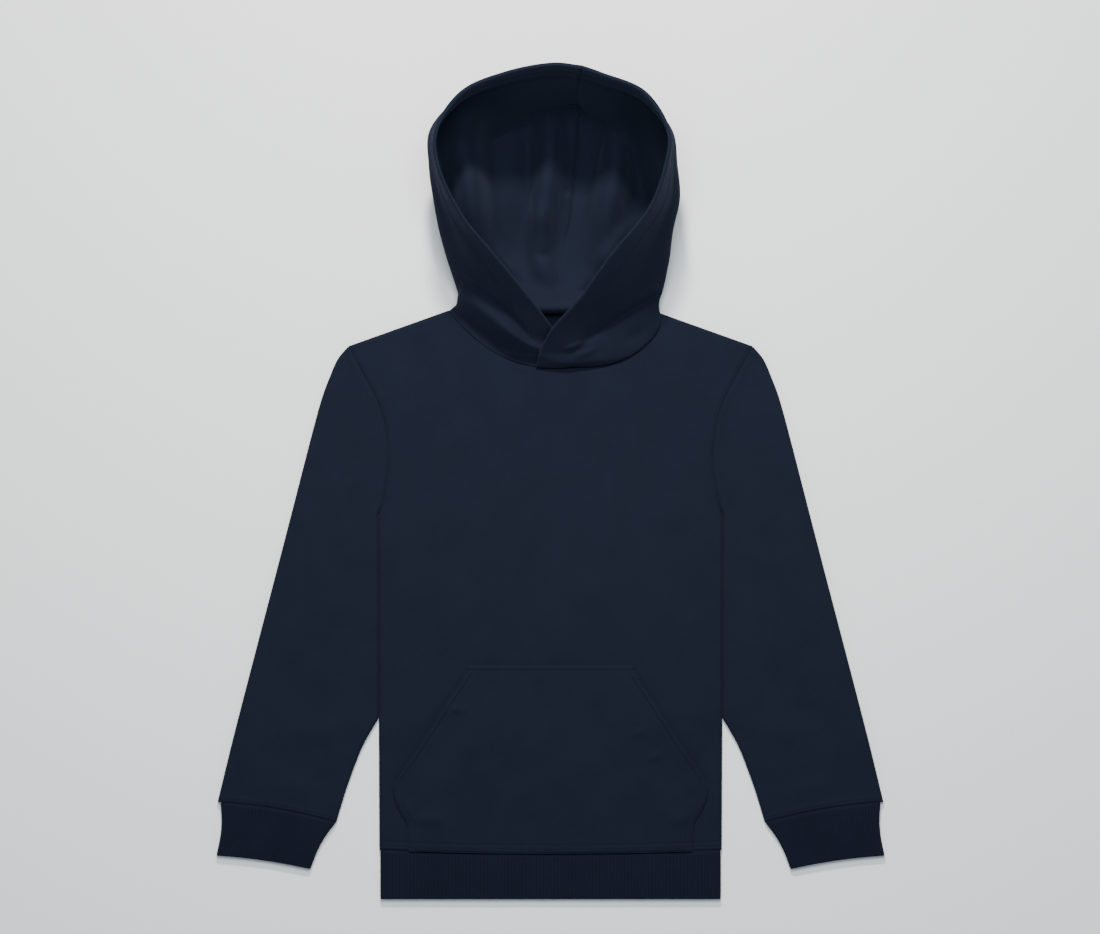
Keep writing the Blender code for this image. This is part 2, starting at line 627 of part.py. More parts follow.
def hood_inner(grid, side):
    """Inner skin: the outer one moved in along its normals, thicker at the open edge."""
    along = tangents(grid, 1)
    up = tangents(grid, 0)
    normal = np.cross(along, up) * side
    normal[-1, 0] = normal[-2, 0]      # the seam runs straight through this corner
    for number, point in enumerate(grid[0]):
        # The neck edge lies flat, face to face with the body's, and stands up where it slumps
        level = min(max((point[2] - LAID_HALF) / LAID_HALF, -1.0), 1.0)
        if side > 0 and level > 0:
            level *= overlapped(side, point[0])
        inwards = np.array([0.0, NECK_POINT[1] + SEAM_GAP]) - point[:2]
        inwards *= math.sqrt(1 - level ** 2) / np.linalg.norm(inwards)
        normal[0, number] = (inwards[0], inwards[1], -level)
    normal /= np.linalg.norm(normal, axis=2, keepdims=True)
    wall = np.full((grid.shape[1], 1), WALL)
    wall[-2:, 0] = (WALL + RIM_WALL) / 2, RIM_WALL
    inner = grid + normal * wall
    inner[:, 0, 0] = grid[:, 0, 0]
    inner[-1, :, 0] = grid[-1, :, 0]
    return inner


def make_hood(name, side, lines):
    rows = HOOD_ROWS + tuple(np.arange(HOOD_ROWS[-1] + 0.5, len(lines) + 0.1, 0.5))
    outer = hood_outer(side, lines, rows)
    inner = hood_inner(outer, side)
    bm = bmesh.new()
    cut = {"start": True, "end": True, "left": True, "right": True}
    add_wall(bm, outer, inner, cut)
    return make_piece(name, bm, FLEECE)


# ---------------------------------------------------------------- garment

for old in list(bpy.data.objects):
    bpy.data.objects.remove(old, do_unlink=True)

GARMENT = bpy.data.collections.new("toddler_hoodie")
bpy.context.scene.collection.children.link(GARMENT)
FLEECE = cloth_material("navy_fleece", NAVY_FLEECE, 0.95)
RIB = cloth_material("navy_rib", NAVY_RIB, 0.95)

make_front()
make_back()
make_sleeve("sleeve_left", +1)
make_sleeve("sleeve_right", -1)
make_cuff("cuff_left", +1)
make_cuff("cuff_right", -1)
make_hem_band()
make_pocket()
make_hood("hood_right", -1, HOOD_RIGHT_LINES)
make_hood("hood_left", +1, HOOD_LEFT_LINES)
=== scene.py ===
"""Looks of a toddler's pullover hoodie, laid flat on its back with its hood standing open.

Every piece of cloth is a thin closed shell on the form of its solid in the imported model, with its
own folds, seams and rib, and the sewing thread is modelled on top. Sizes are in millimetres, in
the model's frame, and MM turns them into metres. +Y runs from the hem to the hood, +Z is up and
+X is the wearer's left.
"""

import math
from collections import namedtuple

import bmesh
import bpy
import numpy as np
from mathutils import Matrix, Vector
from mathutils.bvhtree import BVHTree


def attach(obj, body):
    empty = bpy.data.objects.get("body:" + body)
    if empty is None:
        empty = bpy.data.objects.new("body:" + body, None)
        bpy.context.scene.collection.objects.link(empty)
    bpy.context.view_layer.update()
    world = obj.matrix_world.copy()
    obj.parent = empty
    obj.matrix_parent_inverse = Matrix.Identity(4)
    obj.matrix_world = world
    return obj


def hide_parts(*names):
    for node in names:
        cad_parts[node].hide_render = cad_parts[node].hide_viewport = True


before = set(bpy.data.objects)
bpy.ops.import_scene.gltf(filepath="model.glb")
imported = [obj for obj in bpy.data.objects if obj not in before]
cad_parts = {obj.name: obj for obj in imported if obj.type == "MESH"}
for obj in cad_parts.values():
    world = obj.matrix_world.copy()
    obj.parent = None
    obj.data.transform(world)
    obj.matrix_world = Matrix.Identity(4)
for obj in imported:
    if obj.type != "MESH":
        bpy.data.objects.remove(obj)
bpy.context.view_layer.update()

MM = 0.001

# Cloth, as in the solids
WALL = 2.2
RIM_WALL = 2.6  # the turned and stitched edge of the hood
RIM_WALL_REACH = 14.0  # over which it thickens
LAYER_GAP = 0.3  # between two layers that lie on each other
JOIN = 0.03  # between two pieces sewn edge to edge
LAID_HALF = 2.9  # half the height of two layers laid on each other
BODY_CROWN = 1.1  # how much the front lifts off the back in the middle
BODY_CALM = 14.0  # its folds fade out towards the hem and the top over this length
SLEEVE_CALM = 12.0  # and the sleeve's towards the armhole
FRONT_WAVES, SLEEVE_WAVES, POCKET_WAVES = 0.35, 0.25, 0.3  # height of the cloth's unevenness
SLEEVE_FOLD_SHARE = {+1: 1.0, -1: -0.8}  # of the folds' height in the upper and the lower layer

# Body, front and back
HEM_SEAM_Y = -272.8
HEM_SEAM_SAG = 2.6
BODY_HALF_AT_HEM = 128.2
UNDERARM = (129.0, -22.4)
SHOULDER_TIP = (151.5, 104.4)
NECK_POINT = (77.0, 131.0)
FRONT_NECK_Y = 88.0
BACK_NECK_DROP = 1.5
NECK_FULLNESS_RIGHT = 2.2  # power of the front neckline at -X
NECK_FULLNESS_LEFT = 5.5  # and at +X
ARMHOLE = (  # x, y from the underarm up to the shoulder tip
    UNDERARM, (125.4, -11.0), (121.8, 14.0), (122.3, 34.0), (127.6, 58.5), (137.5, 79.0),
    SHOULDER_TIP,
)
UNDERARM_TURN = 8.0  # length over which a cut edge above the underarm becomes a fold

# Sleeves and cuffs
SLEEVE_OUTER = (
    (159.6, 94.5), (165.6, 81.0), (171.8, 64.0), (180.0, 34.0), (200.6, -46.0), (234.2, -175.0),
    (249.4, -236.8),
)
SLEEVE_INNER = (  # against the body's side
    UNDERARM, (128.6, -60.0), (128.5, -120.0), (128.6, -174.0),
)
SLEEVE_SWING = (  # and away from it
    (128.6, -174.0), (134.6, -184.0), (142.4, -199.0), (152.6, -226.5), (160.4, -252.0),
)
SLEEVE_TIP_START = 0.6
SLEEVE_TIP_CLOSING = 2.5  # length over which the two layers part at the shoulder
SLEEVE_NARROW = 3.2  # the outer fold is tighter where the sleeve is narrower than this many LAID_HALF
SLEEVE_ROOM = 0.46  # share of the width that the rows beside the seam may take
CUFF_SEAM_RISE = 2.4
CUFF_SEAM_LENGTH = 90.0
CUFF_OUTER_END = (250.0, -277.0)
CUFF_INNER_END = (180.0, -287.0)
CUFF_NARROWING = (2.5, 0.3)  # step in from the sleeve at the outer and the inner fold
CUFF_WAIST = 2.6
CUFF_END_BOW = 1.4

# Ribbed bands
RIB_PITCH = 2.6
RIB_HEIGHT = 0.45
RIB_STEPS = 8  # points to a rib
RIB_ROUNDNESS = 0.75  # power of its arch
BAND_ROUND = 1.9  # length over which the folded end is rounded
BAND_ROLL = (0.8, 0.0, 0.9)  # depth, place and width of the roll down into the seam
HEM_HALF_WIDTH = 127.2
HEM_END_Y = -309.6

# Kangaroo pocket
POCKET_ROWS = (  # y, half width, and how much the edges lift there
    (-272.4, 106.0, 0.0), (-253.0, 107.0, 0.0), (-241.0, 114.0, 0.0), (-229.0, 117.4, 0.0),
    (-221.0, 115.4, 0.5), (-200.0, 101.8, 1.2), (-180.0, 88.9, 1.4), (-160.0, 76.1, 1.2),
    (-143.0, 65.2, 0.4), (-138.0, 62.4, 0.0), (-134.3, 62.2, 0.0),
)
POCKET_OPENING = (-221.0, -138.0)  # y of the ends of the slanted hand openings
POCKET_SLANT = 0.84  # distance from the slanted edge for each unit of x
POCKET_HEM_REACH = 12.0  # its rows follow the hem seam's curve this far up
POCKET_LIFT_POWER = 6  # how sharply it lifts towards its sides
POCKET_CALM = 8.0  # its folds fade out towards its edges over this length
POCKET_DEEPEST = 1.2  # nothing presses it in deeper
# Relief along its edges: height, place and width; the sides are sewn down flat below the openings
POCKET_EDGE_ROLL = (-0.7, 0.0, 0.7)
POCKET_TOP_RIDGE = (0.4, 2.2, 0.9)
POCKET_SLANT_RIDGE = (0.5, 2.3, 0.9)
POCKET_SIDE_PRESS = (-0.9, 0.0, 3.0)
POCKET_HEM_PRESS = (-0.6, 0.0, 3.0)

# Hood: the middle seam, x towards +X and y, at each line across the halves
HOOD_SEAM = {
    "foot": (0.0, 132.0), "roll": (0.3, 134.5), "valley": (0.9, 139.0), "chin": (2.5, 146.7),
    "jaw": (7.0, 164.7), "cheek": (12.0, 186.0), "ear": (15.2, 207.0), "temple": (17.6, 228.0),
    "brow": (19.4, 246.0), "corner": (20.4, 260.0), "top": (20.8, 268.0), "middle": (20.8, 274.0),
    "crown": (20.6, 279.0),
}
# Each line runs from the seam over the side to the rim. It gives the share of the way to the side
# at which the cloth leaves the floor, then x, y, z at the side, at the rim and at points between
HOOD_RIGHT_LINES = {
    "foot": (0.72, (73.0, 133.0, 5.5), (-9.8, 93.0, 9.5),
        (57.0, 119.5, 8.8), (30.0, 101.0, 8.6), (9.0, 95.0, 9.0)),
    "roll": (0.72, (69.3, 136.5, 8.5), (-7.5, 98.5, 15.5),
        (61.5, 137.0, 26.5), (31.0, 114.0, 28.5), (12.0, 103.0, 20.5)),
    "valley": (0.72, (68.2, 141.0, 9.5), (-4.5, 107.5, 21.0),
        (62.5, 150.5, 27.5), (34.0, 129.0, 26.5), (14.0, 110.0, 20.5)),
    "chin": (0.72, (70.2, 149.0, 14.0), (-0.4, 117.3, 30.5),
        (65.0, 157.0, 33.5), (35.0, 136.5, 34.5), (15.5, 121.0, 30.0)),
    "jaw": (0.74, (76.3, 166.6, 32.0), (19.4, 141.4, 51.0)),
    "cheek": (0.77, (81.9, 188.1, 46.0), (41.5, 166.9, 72.0)),
    "ear": (0.77, (85.4, 211.1, 52.0), (65.0, 194.2, 92.0)),
    "temple": (0.74, (87.4, 234.9, 56.0), (81.4, 227.4, 110.0)),
    "brow": (0.62, (85.0, 260.0, 58.0), (82.5, 255.0, 116.0)),
    "corner": (0.44, (63.0, 281.5, 58.0), (63.7, 282.2, 117.0)),
    "top": (0.42, (32.0, 293.0, 58.0), (32.4, 295.9, 116.0)),
    "middle": (0.42, (0.0, 298.5, 58.0), (0.0, 302.3, 115.0)),
    "crown": (0.42, (-21.0, 297.0, 58.0), (-22.5, 300.4, 115.0)),
}
HOOD_LEFT_LINES = {
    "foot": (0.72, (77.8, 133.6, 7.0), (-9.3, 95.0, 15.5),
        (80.5, 117.0, 8.3), (58.0, 98.5, 10.0), (16.0, 91.8, 14.5)),
    "roll": (0.72, (80.0, 138.5, 11.0), (-7.8, 99.8, 20.0),
        (75.0, 132.0, 17.0), (46.0, 114.5, 17.0), (17.0, 99.5, 17.5)),
    "valley": (0.72, (82.6, 145.5, 14.0), (-4.0, 107.0, 26.5),
        (76.0, 141.0, 16.0), (44.5, 121.5, 15.5), (17.0, 105.0, 21.5)),
    "chin": (0.72, (84.3, 152.0, 19.0), (2.6, 117.0, 36.0),
        (77.0, 149.0, 27.0), (43.0, 129.0, 29.0), (17.0, 115.5, 30.0)),
    "jaw": (0.72, (88.1, 168.0, 32.0), (23.8, 139.2, 54.0)),
    "cheek": (0.70, (90.0, 188.1, 46.0), (45.3, 167.6, 77.0)),
    "ear": (0.70, (94.2, 211.1, 52.0), (70.8, 197.1, 97.0)),
    "temple": (0.64, (91.2, 234.9, 56.0), (83.5, 228.8, 110.0)),
    "brow": (0.52, (86.0, 260.0, 58.0), (85.0, 255.0, 116.0)),
    "corner": (0.48, (65.5, 281.5, 58.0), (67.3, 282.2, 117.0)),
    "top": (0.44, (36.5, 292.5, 58.0), (36.4, 295.3, 116.0)),
    "crown": (0.44, (21.0, 297.0, 58.0), (22.5, 300.4, 115.0)),
}
# Where a line gives no points between: shares of the way from side to rim, in x, y and height
HOOD_FRONT_SHARES = np.array([(0.31, 0.31, 0.36), (0.57, 0.57, 0.64), (0.80, 0.80, 0.84)])
HOOD_OVERLAP_LIFT = 3.5
OVERLAP_START = 18.0
OVERLAP_CLIMB = 6.5
FOOT_DROP = 1.0  # the left half's foot follows the body's edge down into the seam
# x of the columns along the foot, behind the neck and then on the front neck past its middle
NECK_COLUMNS = (74.1, 66.0, 56.0, 45.0, 34.0, 22.0, 11.0)
BACK_FOOT_X = (JOIN / 2,) + NECK_COLUMNS[::-1] + (77.0,)
FRONT_FOOT_X = (77.0, 76.2) + NECK_COLUMNS + (0.0, -5.8, -11.6)
FLOOR_COLUMN = 4
CORNER_COLUMN = len(BACK_FOOT_X) - 1
LAST_COLUMN = CORNER_COLUMN + len(FRONT_FOOT_X) - 1

# Folds: a path of x, y, how wide it is to each side, how high it stands (a trough is
# below 0), and the share of its length over which each end fades
Fold = namedtuple("Fold", "path width height fade", defaults=(0.5,))
FRONT_FOLDS = (
    Fold(((-118, -30), (-96, -22), (-70, -26)), 11, 0.7),
    Fold(((116, -34), (94, -24), (66, -30)), 12, 0.8),
    Fold(((-112, 40), (-84, 22), (-50, 16)), 14, 0.6),
    Fold(((108, 46), (82, 30), (44, 22)), 13, -0.6),
    Fold(((-70, -118), (-84, -84), (-90, -46)), 16, 0.7),
    Fold(((72, -116), (86, -80), (88, -50)), 15, 0.6),
    Fold(((-116, -150), (-108, -190), (-112, -236)), 9, -0.5),
    Fold(((120, -140), (116, -186), (120, -232)), 9, -0.5),
    Fold(((-40, 66), (0, 56), (46, 64)), 14, -0.5),
    Fold(((-20, -110), (8, -70), (10, -20)), 22, 0.7),
)
POCKET_FOLDS = (
    Fold(((-79, -166), (-60, -168)), 2.4, 1.5),
    Fold(((74, -183), (58, -186)), 2.4, 1.2),
    Fold(((86, -199), (70, -206)), 2.6, 1.4),
    Fold(((-106, -250), (-76, -249)), 4.5, 1.6, 0.4),
    Fold(((107, -248), (88, -250)), 4.5, 1.4, 0.4),
    Fold(((-112, -232), (-96, -236)), 5.0, -0.9),
    Fold(((112, -230), (98, -235)), 5.0, -0.8),
    Fold(((-54, -150), (-30, -190), (-34, -236)), 16, 0.6),
    Fold(((52, -150), (36, -188), (44, -240)), 15, -0.5),
)
BACK_FOLDS = (
    Fold(((-112, 30), (-76, 14), (-40, 18)), 14, 1.0),
    Fold(((110, 34), (80, 16), (36, 10)), 15, 1.1),
    Fold(((-96, -220), (-80, -150), (-88, -80)), 14, 0.9),
    Fold(((90, -230), (84, -160), (96, -96)), 13, 1.0),
    Fold(((-10, -240), (6, -150), (-4, -40)), 18, 1.0),
    Fold(((-50, 90), (0, 80), (52, 92)), 12, 0.8),
)
SLEEVE_FOLDS = (
    Fold(((134, -40), (150, -52), (172, -58)), 8, 0.8),
    Fold(((134, -86), (156, -92), (176, -106)), 9, 0.7),
    Fold(((152, 40), (158, 0), (166, -50)), 10, 0.7),
    Fold(((178, -60), (190, -120), (204, -180)), 9, -0.6),
    Fold(((146, -170), (168, -184), (196, -190)), 7, 0.8),
    Fold(((166, -236), (192, -226), (222, -222)), 6, 0.7),
    Fold(((206, -240), (202, -214), (204, -186)), 6, -0.5),
)
# In the hood: soft pipes standing up from its back, and creases where it turns up to the neck
HOOD_FOLDS = (
    Fold(((-62, 304), (-61, 236), (-57, 190), (-51, 142)), 14, 47.0),
    Fold(((-34, 302), (-32, 240), (-30, 170)), 17, 17.0, 0.45),
    Fold(((-1, 310), (-1, 244), (-5, 200), (-6, 168)), 10.5, 24.0, 0.45),
    Fold(((50, 304), (48, 240), (41, 200), (30, 158)), 12.5, 25.0, 0.45),
    Fold(((-6, 218), (-8, 186), (-6, 165), (5, 146)), 7.0, 8.0, 0.3),
    Fold(((58, 205), (54, 190), (44, 174), (30, 158)), 6.5, 6.0, 0.35),
    Fold(((-46, 187), (-37, 173), (-26, 159), (-20, 150)), 3.2, 4.5, 0.4),
    Fold(((-15, 236), (-15.5, 210), (-15, 186)), 2.8, -3.0),
    Fold(((3.2, 246), (2.6, 216), (2, 184)), 2.2, -2.6, 0.4),
    Fold(((-9, 178), (-2, 167)), 2.6, -2.4),
    Fold(((39, 276), (40, 268), (37.8, 252), (34, 234), (31.8, 224)), 3.0, -2.6, 0.3),
    Fold(((12, 226), (9, 214)), 3.2, -2.4, 0.6),
    Fold(((13, 133), (23, 141), (34, 151), (44, 159)), 4.5, -6.0, 0.3),
)
PIPES_LOW = (80.0, 55.0)  # they fade out below this height, over this length
PIPES_OFF_NECK = (134.0, 14.0)
PIPES_OFF_SIDE = (90.0, 14.0)

# Behind the neck the hood slumps over its seam
NECK_ROLL = (  # row of the hood, and how far it moves down the garment and up
    (0.0, 0.0, 0.0), (0.35, 0.2, 6.5), (0.7, 0.6, 12.0), (1.0, 0.8, 15.0), (1.4, 0.4, 16.8),
    (2.0, 0.0, 15.8), (3.0, 0.0, 11.0), (4.0, 0.0, 4.0), (5.0, 0.0, 0.8), (6.0, 0.0, 0.0),
)
NECK_ROLL_HALF = (44.0, 20.0)  # its half width, and the length over which its ends fade
# On the collar, beside the neck seam
COLLAR_FOLDS = (
    Fold(((7, 100), (17, 103), (28, 109)), 2.0, 2.2),
    Fold(((14, 95.5), (27, 99), (38, 106)), 2.4, 2.0),
    Fold(((-38, 102), (-27, 98), (-15, 96), (-2, 96.5)), 2.1, 2.2, 0.4),
    Fold(((76, 121), (64, 112), (50, 107)), 5.5, -2.2),
    Fold(((-22, 97), (-34, 103), (-44, 110)), 3.0, -1.0),
)
COLLAR_ROWS = (0.6, 3.6)  # row at which they are full, and the row where the collar ends

# Sewing
STITCH = 3.0  # from one stitch to the next
STITCH_LENGTH = 2.25
STITCH_SHARES = np.array([0.0, 0.12, 0.5, 0.88, 1.0])  # rings of thread along a stitch
STITCH_HEIGHTS = np.array([-0.15, 0.08, 0.14, 0.08, -0.15])
THREAD_RADII = 0.22 * np.array([0.5, 1.0, 1.0, 1.0, 0.5])
THREAD_SIDES = 4
THREAD_PITCH = 0.2  # from one of its sides to the next, for the knit
HEM_LINES = (3.2, 6.6)  # twin needle above the hem seam
POCKET_TOP_LINES = (0.9, 3.4)
POCKET_SLANT_LINES = (0.9, 3.6)
ARMHOLE_LINES = (2.2,)  # on the body's side
CUFF_LINES = (2.6,)
NECK_LINES = (2.2,)
RIM_LINES = (21.0,)
SEAM_DROP = 0.9  # how far the cloth rolls down into a seam
SEAM_ROLL = 1.1  # and over what length
SEAM_RIDGE = 0.35  # the seam allowance lifts the cloth beside the seam
RIDGE_PLACE = 2.6
RIDGE_WIDTH = 2.2
PUCKER = 0.10
PUCKER_WIDTH = 4.0
STITCH_PRESS = 0.4
STITCH_WIDTH = 0.7
RIM_PRESS = 0.2
SEAM_LEAN = 0.1  # the two edges of the hood's middle seam meet aslant: no gap shows
SEAM_FADE = (0.12, 180.0, 28.0)  # least share of it that shows, and the y and length of its fading
SEAM_OFF_RIM = 6.0  # and the length over which it fades at the rim
HALVES_GROOVE = (0.9, 0.0, 1.1)  # depth, place and width
FOOT_GROOVE = (0.8, 0.0, 1.0)
ALLOWANCE = {+1: 0.2, -1: 0.7}  # its allowance lies to its right, inside
ALLOWANCE_PLACE = (2.8, 1.9)  # its place and width
BESIDE_SEAM = {+1: 4.0, -1: 6.0}  # and the cloth stands up to each side of it
BESIDE_SEAM_START = 1.9
BESIDE_SEAM_WIDTH = 11.0
BESIDE_SEAM_END = (180.0, 40.0)

# Mesh density
ROUTE_SAMPLES = 24
TURN = np.linspace(0.0, math.pi / 2, 7)  # around a fold
NEAR_SEAM = np.arange(3.5, 9.0, 0.6)  # reach of the finer rows and columns at a seam
SEAM_ROWS = np.concatenate((np.arange(0.0, 3.5, 0.5), NEAR_SEAM))
POCKET_EDGE_ROWS = np.array([0.0, 0.5, 1.0, 1.5, 2.0, 2.6, 3.2, *np.arange(3.8, 10.0, 0.6)])
POCKET_BETWEEN = 10.5  # the even rows between them start here
POCKET_GRID = (70, 58)  # even rows, and even columns in each half
BAND_END_ROWS = np.array([0.0, 0.35, 0.7, 1.1, 1.6, 2.3, 3.2])
BAND_BETWEEN = 4.5  # and here
BAND_ROWS = 15
ARMHOLE_ROWS = np.array([SLEEVE_TIP_START, *np.arange(1.2, 12, 0.9)])
BODY_ROWS = (76, 56)  # along the side and the armhole
BODY_COLUMNS = (20, 36)  # below the shoulder and the neck
SLEEVE_ROWS = (52, 96)  # along the armhole and below it
SLEEVE_COLUMNS = 44
HOOD_ROWS = (24, 46, 84, 16)  # up to the foot, to the chin, towards the crown and at it
HOOD_COLUMNS = (118, 12)  # between the seam and the rim, and at the rim
MIDDLE_SEAM_COLUMNS = [0.0, 0.04, 0.08, 0.13, 0.19, 0.26, 0.34, 0.43]
WELD = 0.004
SHARP_ANGLE = math.radians(62)

# Colours, linear
NAVY = (0.0090, 0.0114, 0.0210)
# Lighter than the navy outside: partly the brushed inside face, partly painted fill light that lifts the
# hood's shaded interior.
NAVY_INSIDE_PAINTED_FILL = (0.0100, 0.0128, 0.0238)
# Darker than the body's navy: painted shade of the rib's valleys, on top of the ribs that are modelled.
NAVY_RIB_PAINTED_SHADE = (0.0072, 0.0096, 0.0182)
NAVY_THREAD = (0.0115, 0.0145, 0.0260)
SHEEN_TINT = (0.55, 0.68, 1.0, 1.0)
SHADE = 0.76  # least share of the colour, and what each pattern adds to it
# The stitches' share darkens the colour in the knit's hollows: painted shade.
DYE_SHADE, LINT_SHADE, STITCH_HOLLOW_PAINTED_SHADE = 0.30, 0.22, 0.05
DYE = (38.0, 3.0)  # scale and detail of each noise, and the nap's roughness
LINT = (900.0, 2.0)
NAP = (620.0, 4.0, 0.7)
NAP_REACH = 0.35
WEAVE_REACH = 0.16


# ---- outlines

def spline(points, place):
    """The smooth curve through points at each place, where whole numbers are the points."""
    points, place = np.asarray(points, float), np.asarray(place, float)
    last = len(points) - 1
    start = np.clip(np.floor(place).astype(int), 0, last - 1)
    padded = np.concatenate((2 * points[:1] - points[1:2], points, 2 * points[-1:] - points[-2:-1]))
    p0, p1, p2, p3 = (padded[start + k] for k in range(4))
    f = (place - start).reshape(place.shape + (1,) * (points.ndim - 1))
    return 0.5 * (2 * p1 + (p2 - p0) * f + (2 * p0 - 5 * p1 + 4 * p2 - p3) * f ** 2
                  + (3 * p1 - 3 * p2 + p3 - p0) * f ** 3)


def stacked(*axes):
    """Arrays joined along a new last axis, such as points from their coordinates."""
    return np.stack(np.broadcast_arrays(*axes), axis=-1)


def unit(vectors):
    return vectors / np.maximum(np.linalg.norm(vectors, axis=-1, keepdims=True), 1e-6)


def walked(points):
    """Length walked along a line at each of its points."""
    reach = np.linalg.norm(np.diff(points, axis=0), axis=1)
    return np.concatenate(([0.0], np.cumsum(reach)))


class Route:
    """An outline of smooth stretches, each through a few points, walked by the share of length."""

    def __init__(self, *stretches):
        self.line = np.concatenate([
            spline(points, np.linspace(0, len(points) - 1, (len(points) - 1) * ROUTE_SAMPLES + 1))
            for points in stretches])
        self.walked = walked(self.line)
        self.length = self.walked[-1]

    def at(self, share):
        place = np.asarray(share) * self.length
        return np.stack([np.interp(place, self.walked, axis) for axis in self.line.T], axis=-1)

    def share_at_y(self, y):
        return float(self.walked[np.argmin(np.abs(self.line[:, 1] - y))] / self.length)


def smooth(value):
    """0 below 0, 1 above 1, and a soft ramp between."""
    value = np.clip(value, 0.0, 1.0)
    return value * value * (3 - 2 * value)


def front_neck_y(x):
    reach = np.minimum(np.abs(x) / NECK_POINT[0], 1.0)
    fullness = np.where(np.asarray(x) > 0, NECK_FULLNESS_LEFT, NECK_FULLNESS_RIGHT)
    return FRONT_NECK_Y + (NECK_POINT[1] - FRONT_NECK_Y) * reach ** fullness


def back_neck_y(x):
    reach = np.minimum(np.abs(x) / NECK_POINT[0], 1.0)
    return NECK_POINT[1] - BACK_NECK_DROP * (1 - reach ** 2)


def steepness(neck_y, x):
    """Length of a neckline for each unit of x."""
    return np.hypot((neck_y(x + 0.1) - neck_y(x - 0.1)) / 0.2, 1.0)


def shoulder_y(x):
    run = (np.abs(x) - NECK_POINT[0]) / (SHOULDER_TIP[0] - NECK_POINT[0])
    return NECK_POINT[1] + (SHOULDER_TIP[1] - NECK_POINT[1]) * run


def hem_seam_y(x):
    return HEM_SEAM_Y - HEM_SEAM_SAG * (1 - (x / BODY_HALF_AT_HEM) ** 2)


def patch(low, high, left, right, u, v):
    """Points of the sheet stretched between four outlines."""
    w, t = u[..., None], v[..., None]
    bent = [edge(u) - (1 - w) * edge(np.zeros_like(u)) - w * edge(np.ones_like(u)) for edge in (low, high)]
    return (1 - t) * bent[0] + t * bent[1] + (1 - w) * left(v) + w * right(v)


def distance(x, y, path):
    """Distance of each point from a path of x, y, and the share of the path's length there."""
    path = np.asarray(path, float)
    starts = walked(path)
    best, share = np.full(np.shape(x), 1e9), np.zeros(np.shape(x))
    for k, length in enumerate(np.diff(starts)):
        step = (path[k + 1] - path[k]) / length
        along = np.clip((x - path[k][0]) * step[0] + (y - path[k][1]) * step[1], 0, length)
        away = np.hypot(x - path[k][0] - step[0] * along, y - path[k][1] - step[1] * along)
        nearer = away < best
        best = np.where(nearer, away, best)
        share = np.where(nearer, (starts[k] + along) / starts[-1], share)
    return best, share


def bell(away, width):
    """1 at 0, and next to nothing from twice the width on."""
    return np.exp(-(away / width) ** 2)


def arc(share):
    """Height of a quarter circle: 0 at 0, steep there, and 1 from 1 on."""
    return np.sqrt(1 - (1 - np.clip(share, 0.0, 1.0)) ** 2)


def ridge(away, shape):
    """Relief at distances from an edge; shape is its height, place and width."""
    height, place, width = shape
    return height * bell(away - place, width)


def pressed(away, lines, depth=STITCH_PRESS):
    """How deep the stitches of lines press the cloth in, at distances from an edge."""
    return depth * sum(bell(away - line, STITCH_WIDTH) for line in lines)


def folded(folds, x, y):
    """Height that a table of folds adds at each point."""
    height = np.zeros(np.shape(x))
    for fold in folds:
        path = spline(fold.path, np.linspace(0, len(fold.path) - 1, 4 * len(fold.path)))
        away, share = distance(x, y, path)
        ends = smooth(share / fold.fade) * smooth((1 - share) / fold.fade)
        height += fold.height * bell(away, fold.width) * ends
    return height


def looked_up(table, place):
    """A table's other columns, on smooth curves, at places in its first."""
    table = np.array(table)
    return spline(table[:, 1:], np.interp(place, table[:, 0], np.arange(len(table))))


def waves(x, y, seed):
    """Broad faint unevenness of cloth that lies loose, from -1 to 1, in waves of some 20 to 80 mm."""
    return (np.sin(x / 31.0 + y / 47.0 + seed) * np.sin(y / 38.0 - x / 83.0 + 2.1 * seed)
            + 0.6 * np.sin(x / 17.0 - y / 23.0 + 1.7 * seed) * np.sin(y / 61.0 + 0.6 * seed)) / 1.6


def seam_relief(away, lines, along, raised=SEAM_RIDGE):
    """Height beside a seam: rolled down into it, lifted over its allowance, pressed at each line."""
    height = raised * bell(away - RIDGE_PLACE, RIDGE_WIDTH) - SEAM_DROP * bell(away, SEAM_ROLL)
    height += PUCKER * np.sin(along / 2.3 + np.sin(along / 7.0)) * bell(away, PUCKER_WIDTH)
    return height - pressed(away, lines)


# ---- meshes

def grid_faces(k):
    """Faces of a grid of point numbers."""
    return stacked(k[:-1, :-1], k[:-1, 1:], k[1:, 1:], k[1:, :-1]).reshape(-1, 4)


def cut_faces(outer, inner, keep):
    """Faces that join two rows of point numbers along an open edge; keep may name some of them."""
    faces = stacked(outer[:-1], outer[1:], inner[1:], inner[:-1])
    return faces if keep is None else faces[keep]


def quad_mesh(name, points, faces, cloth):
    """Mesh of four-sided faces; points and cloth coordinates are in millimetres."""
    mesh = bpy.data.meshes.new(name)
    mesh.vertices.add(len(points))
    mesh.vertices.foreach_set("co", (points * MM).astype(np.float32).ravel())
    mesh.loops.add(faces.size)
    mesh.loops.foreach_set("vertex_index", faces.astype(np.int32).ravel())
    mesh.polygons.add(len(faces))
    mesh.polygons.foreach_set("loop_start", np.arange(0, faces.size, 4, dtype=np.int32))
    layer = mesh.uv_layers.new(name="cloth")
    layer.uv.foreach_set("vector", cloth[faces.ravel()].astype(np.float32).ravel())
    mesh.update(calc_edges=True)
    return mesh


def placed(name, data):
    """A new object in the scene."""
    thing = bpy.data.objects.new(name, data)
    bpy.context.scene.collection.objects.link(thing)
    return thing


def smooth_piece(mesh, materials):
    mesh.shade_smooth()
    mesh.set_sharp_from_angle(angle=SHARP_ANGLE)
    for material in materials:
        mesh.materials.append(material)
    return placed(mesh.name, mesh)


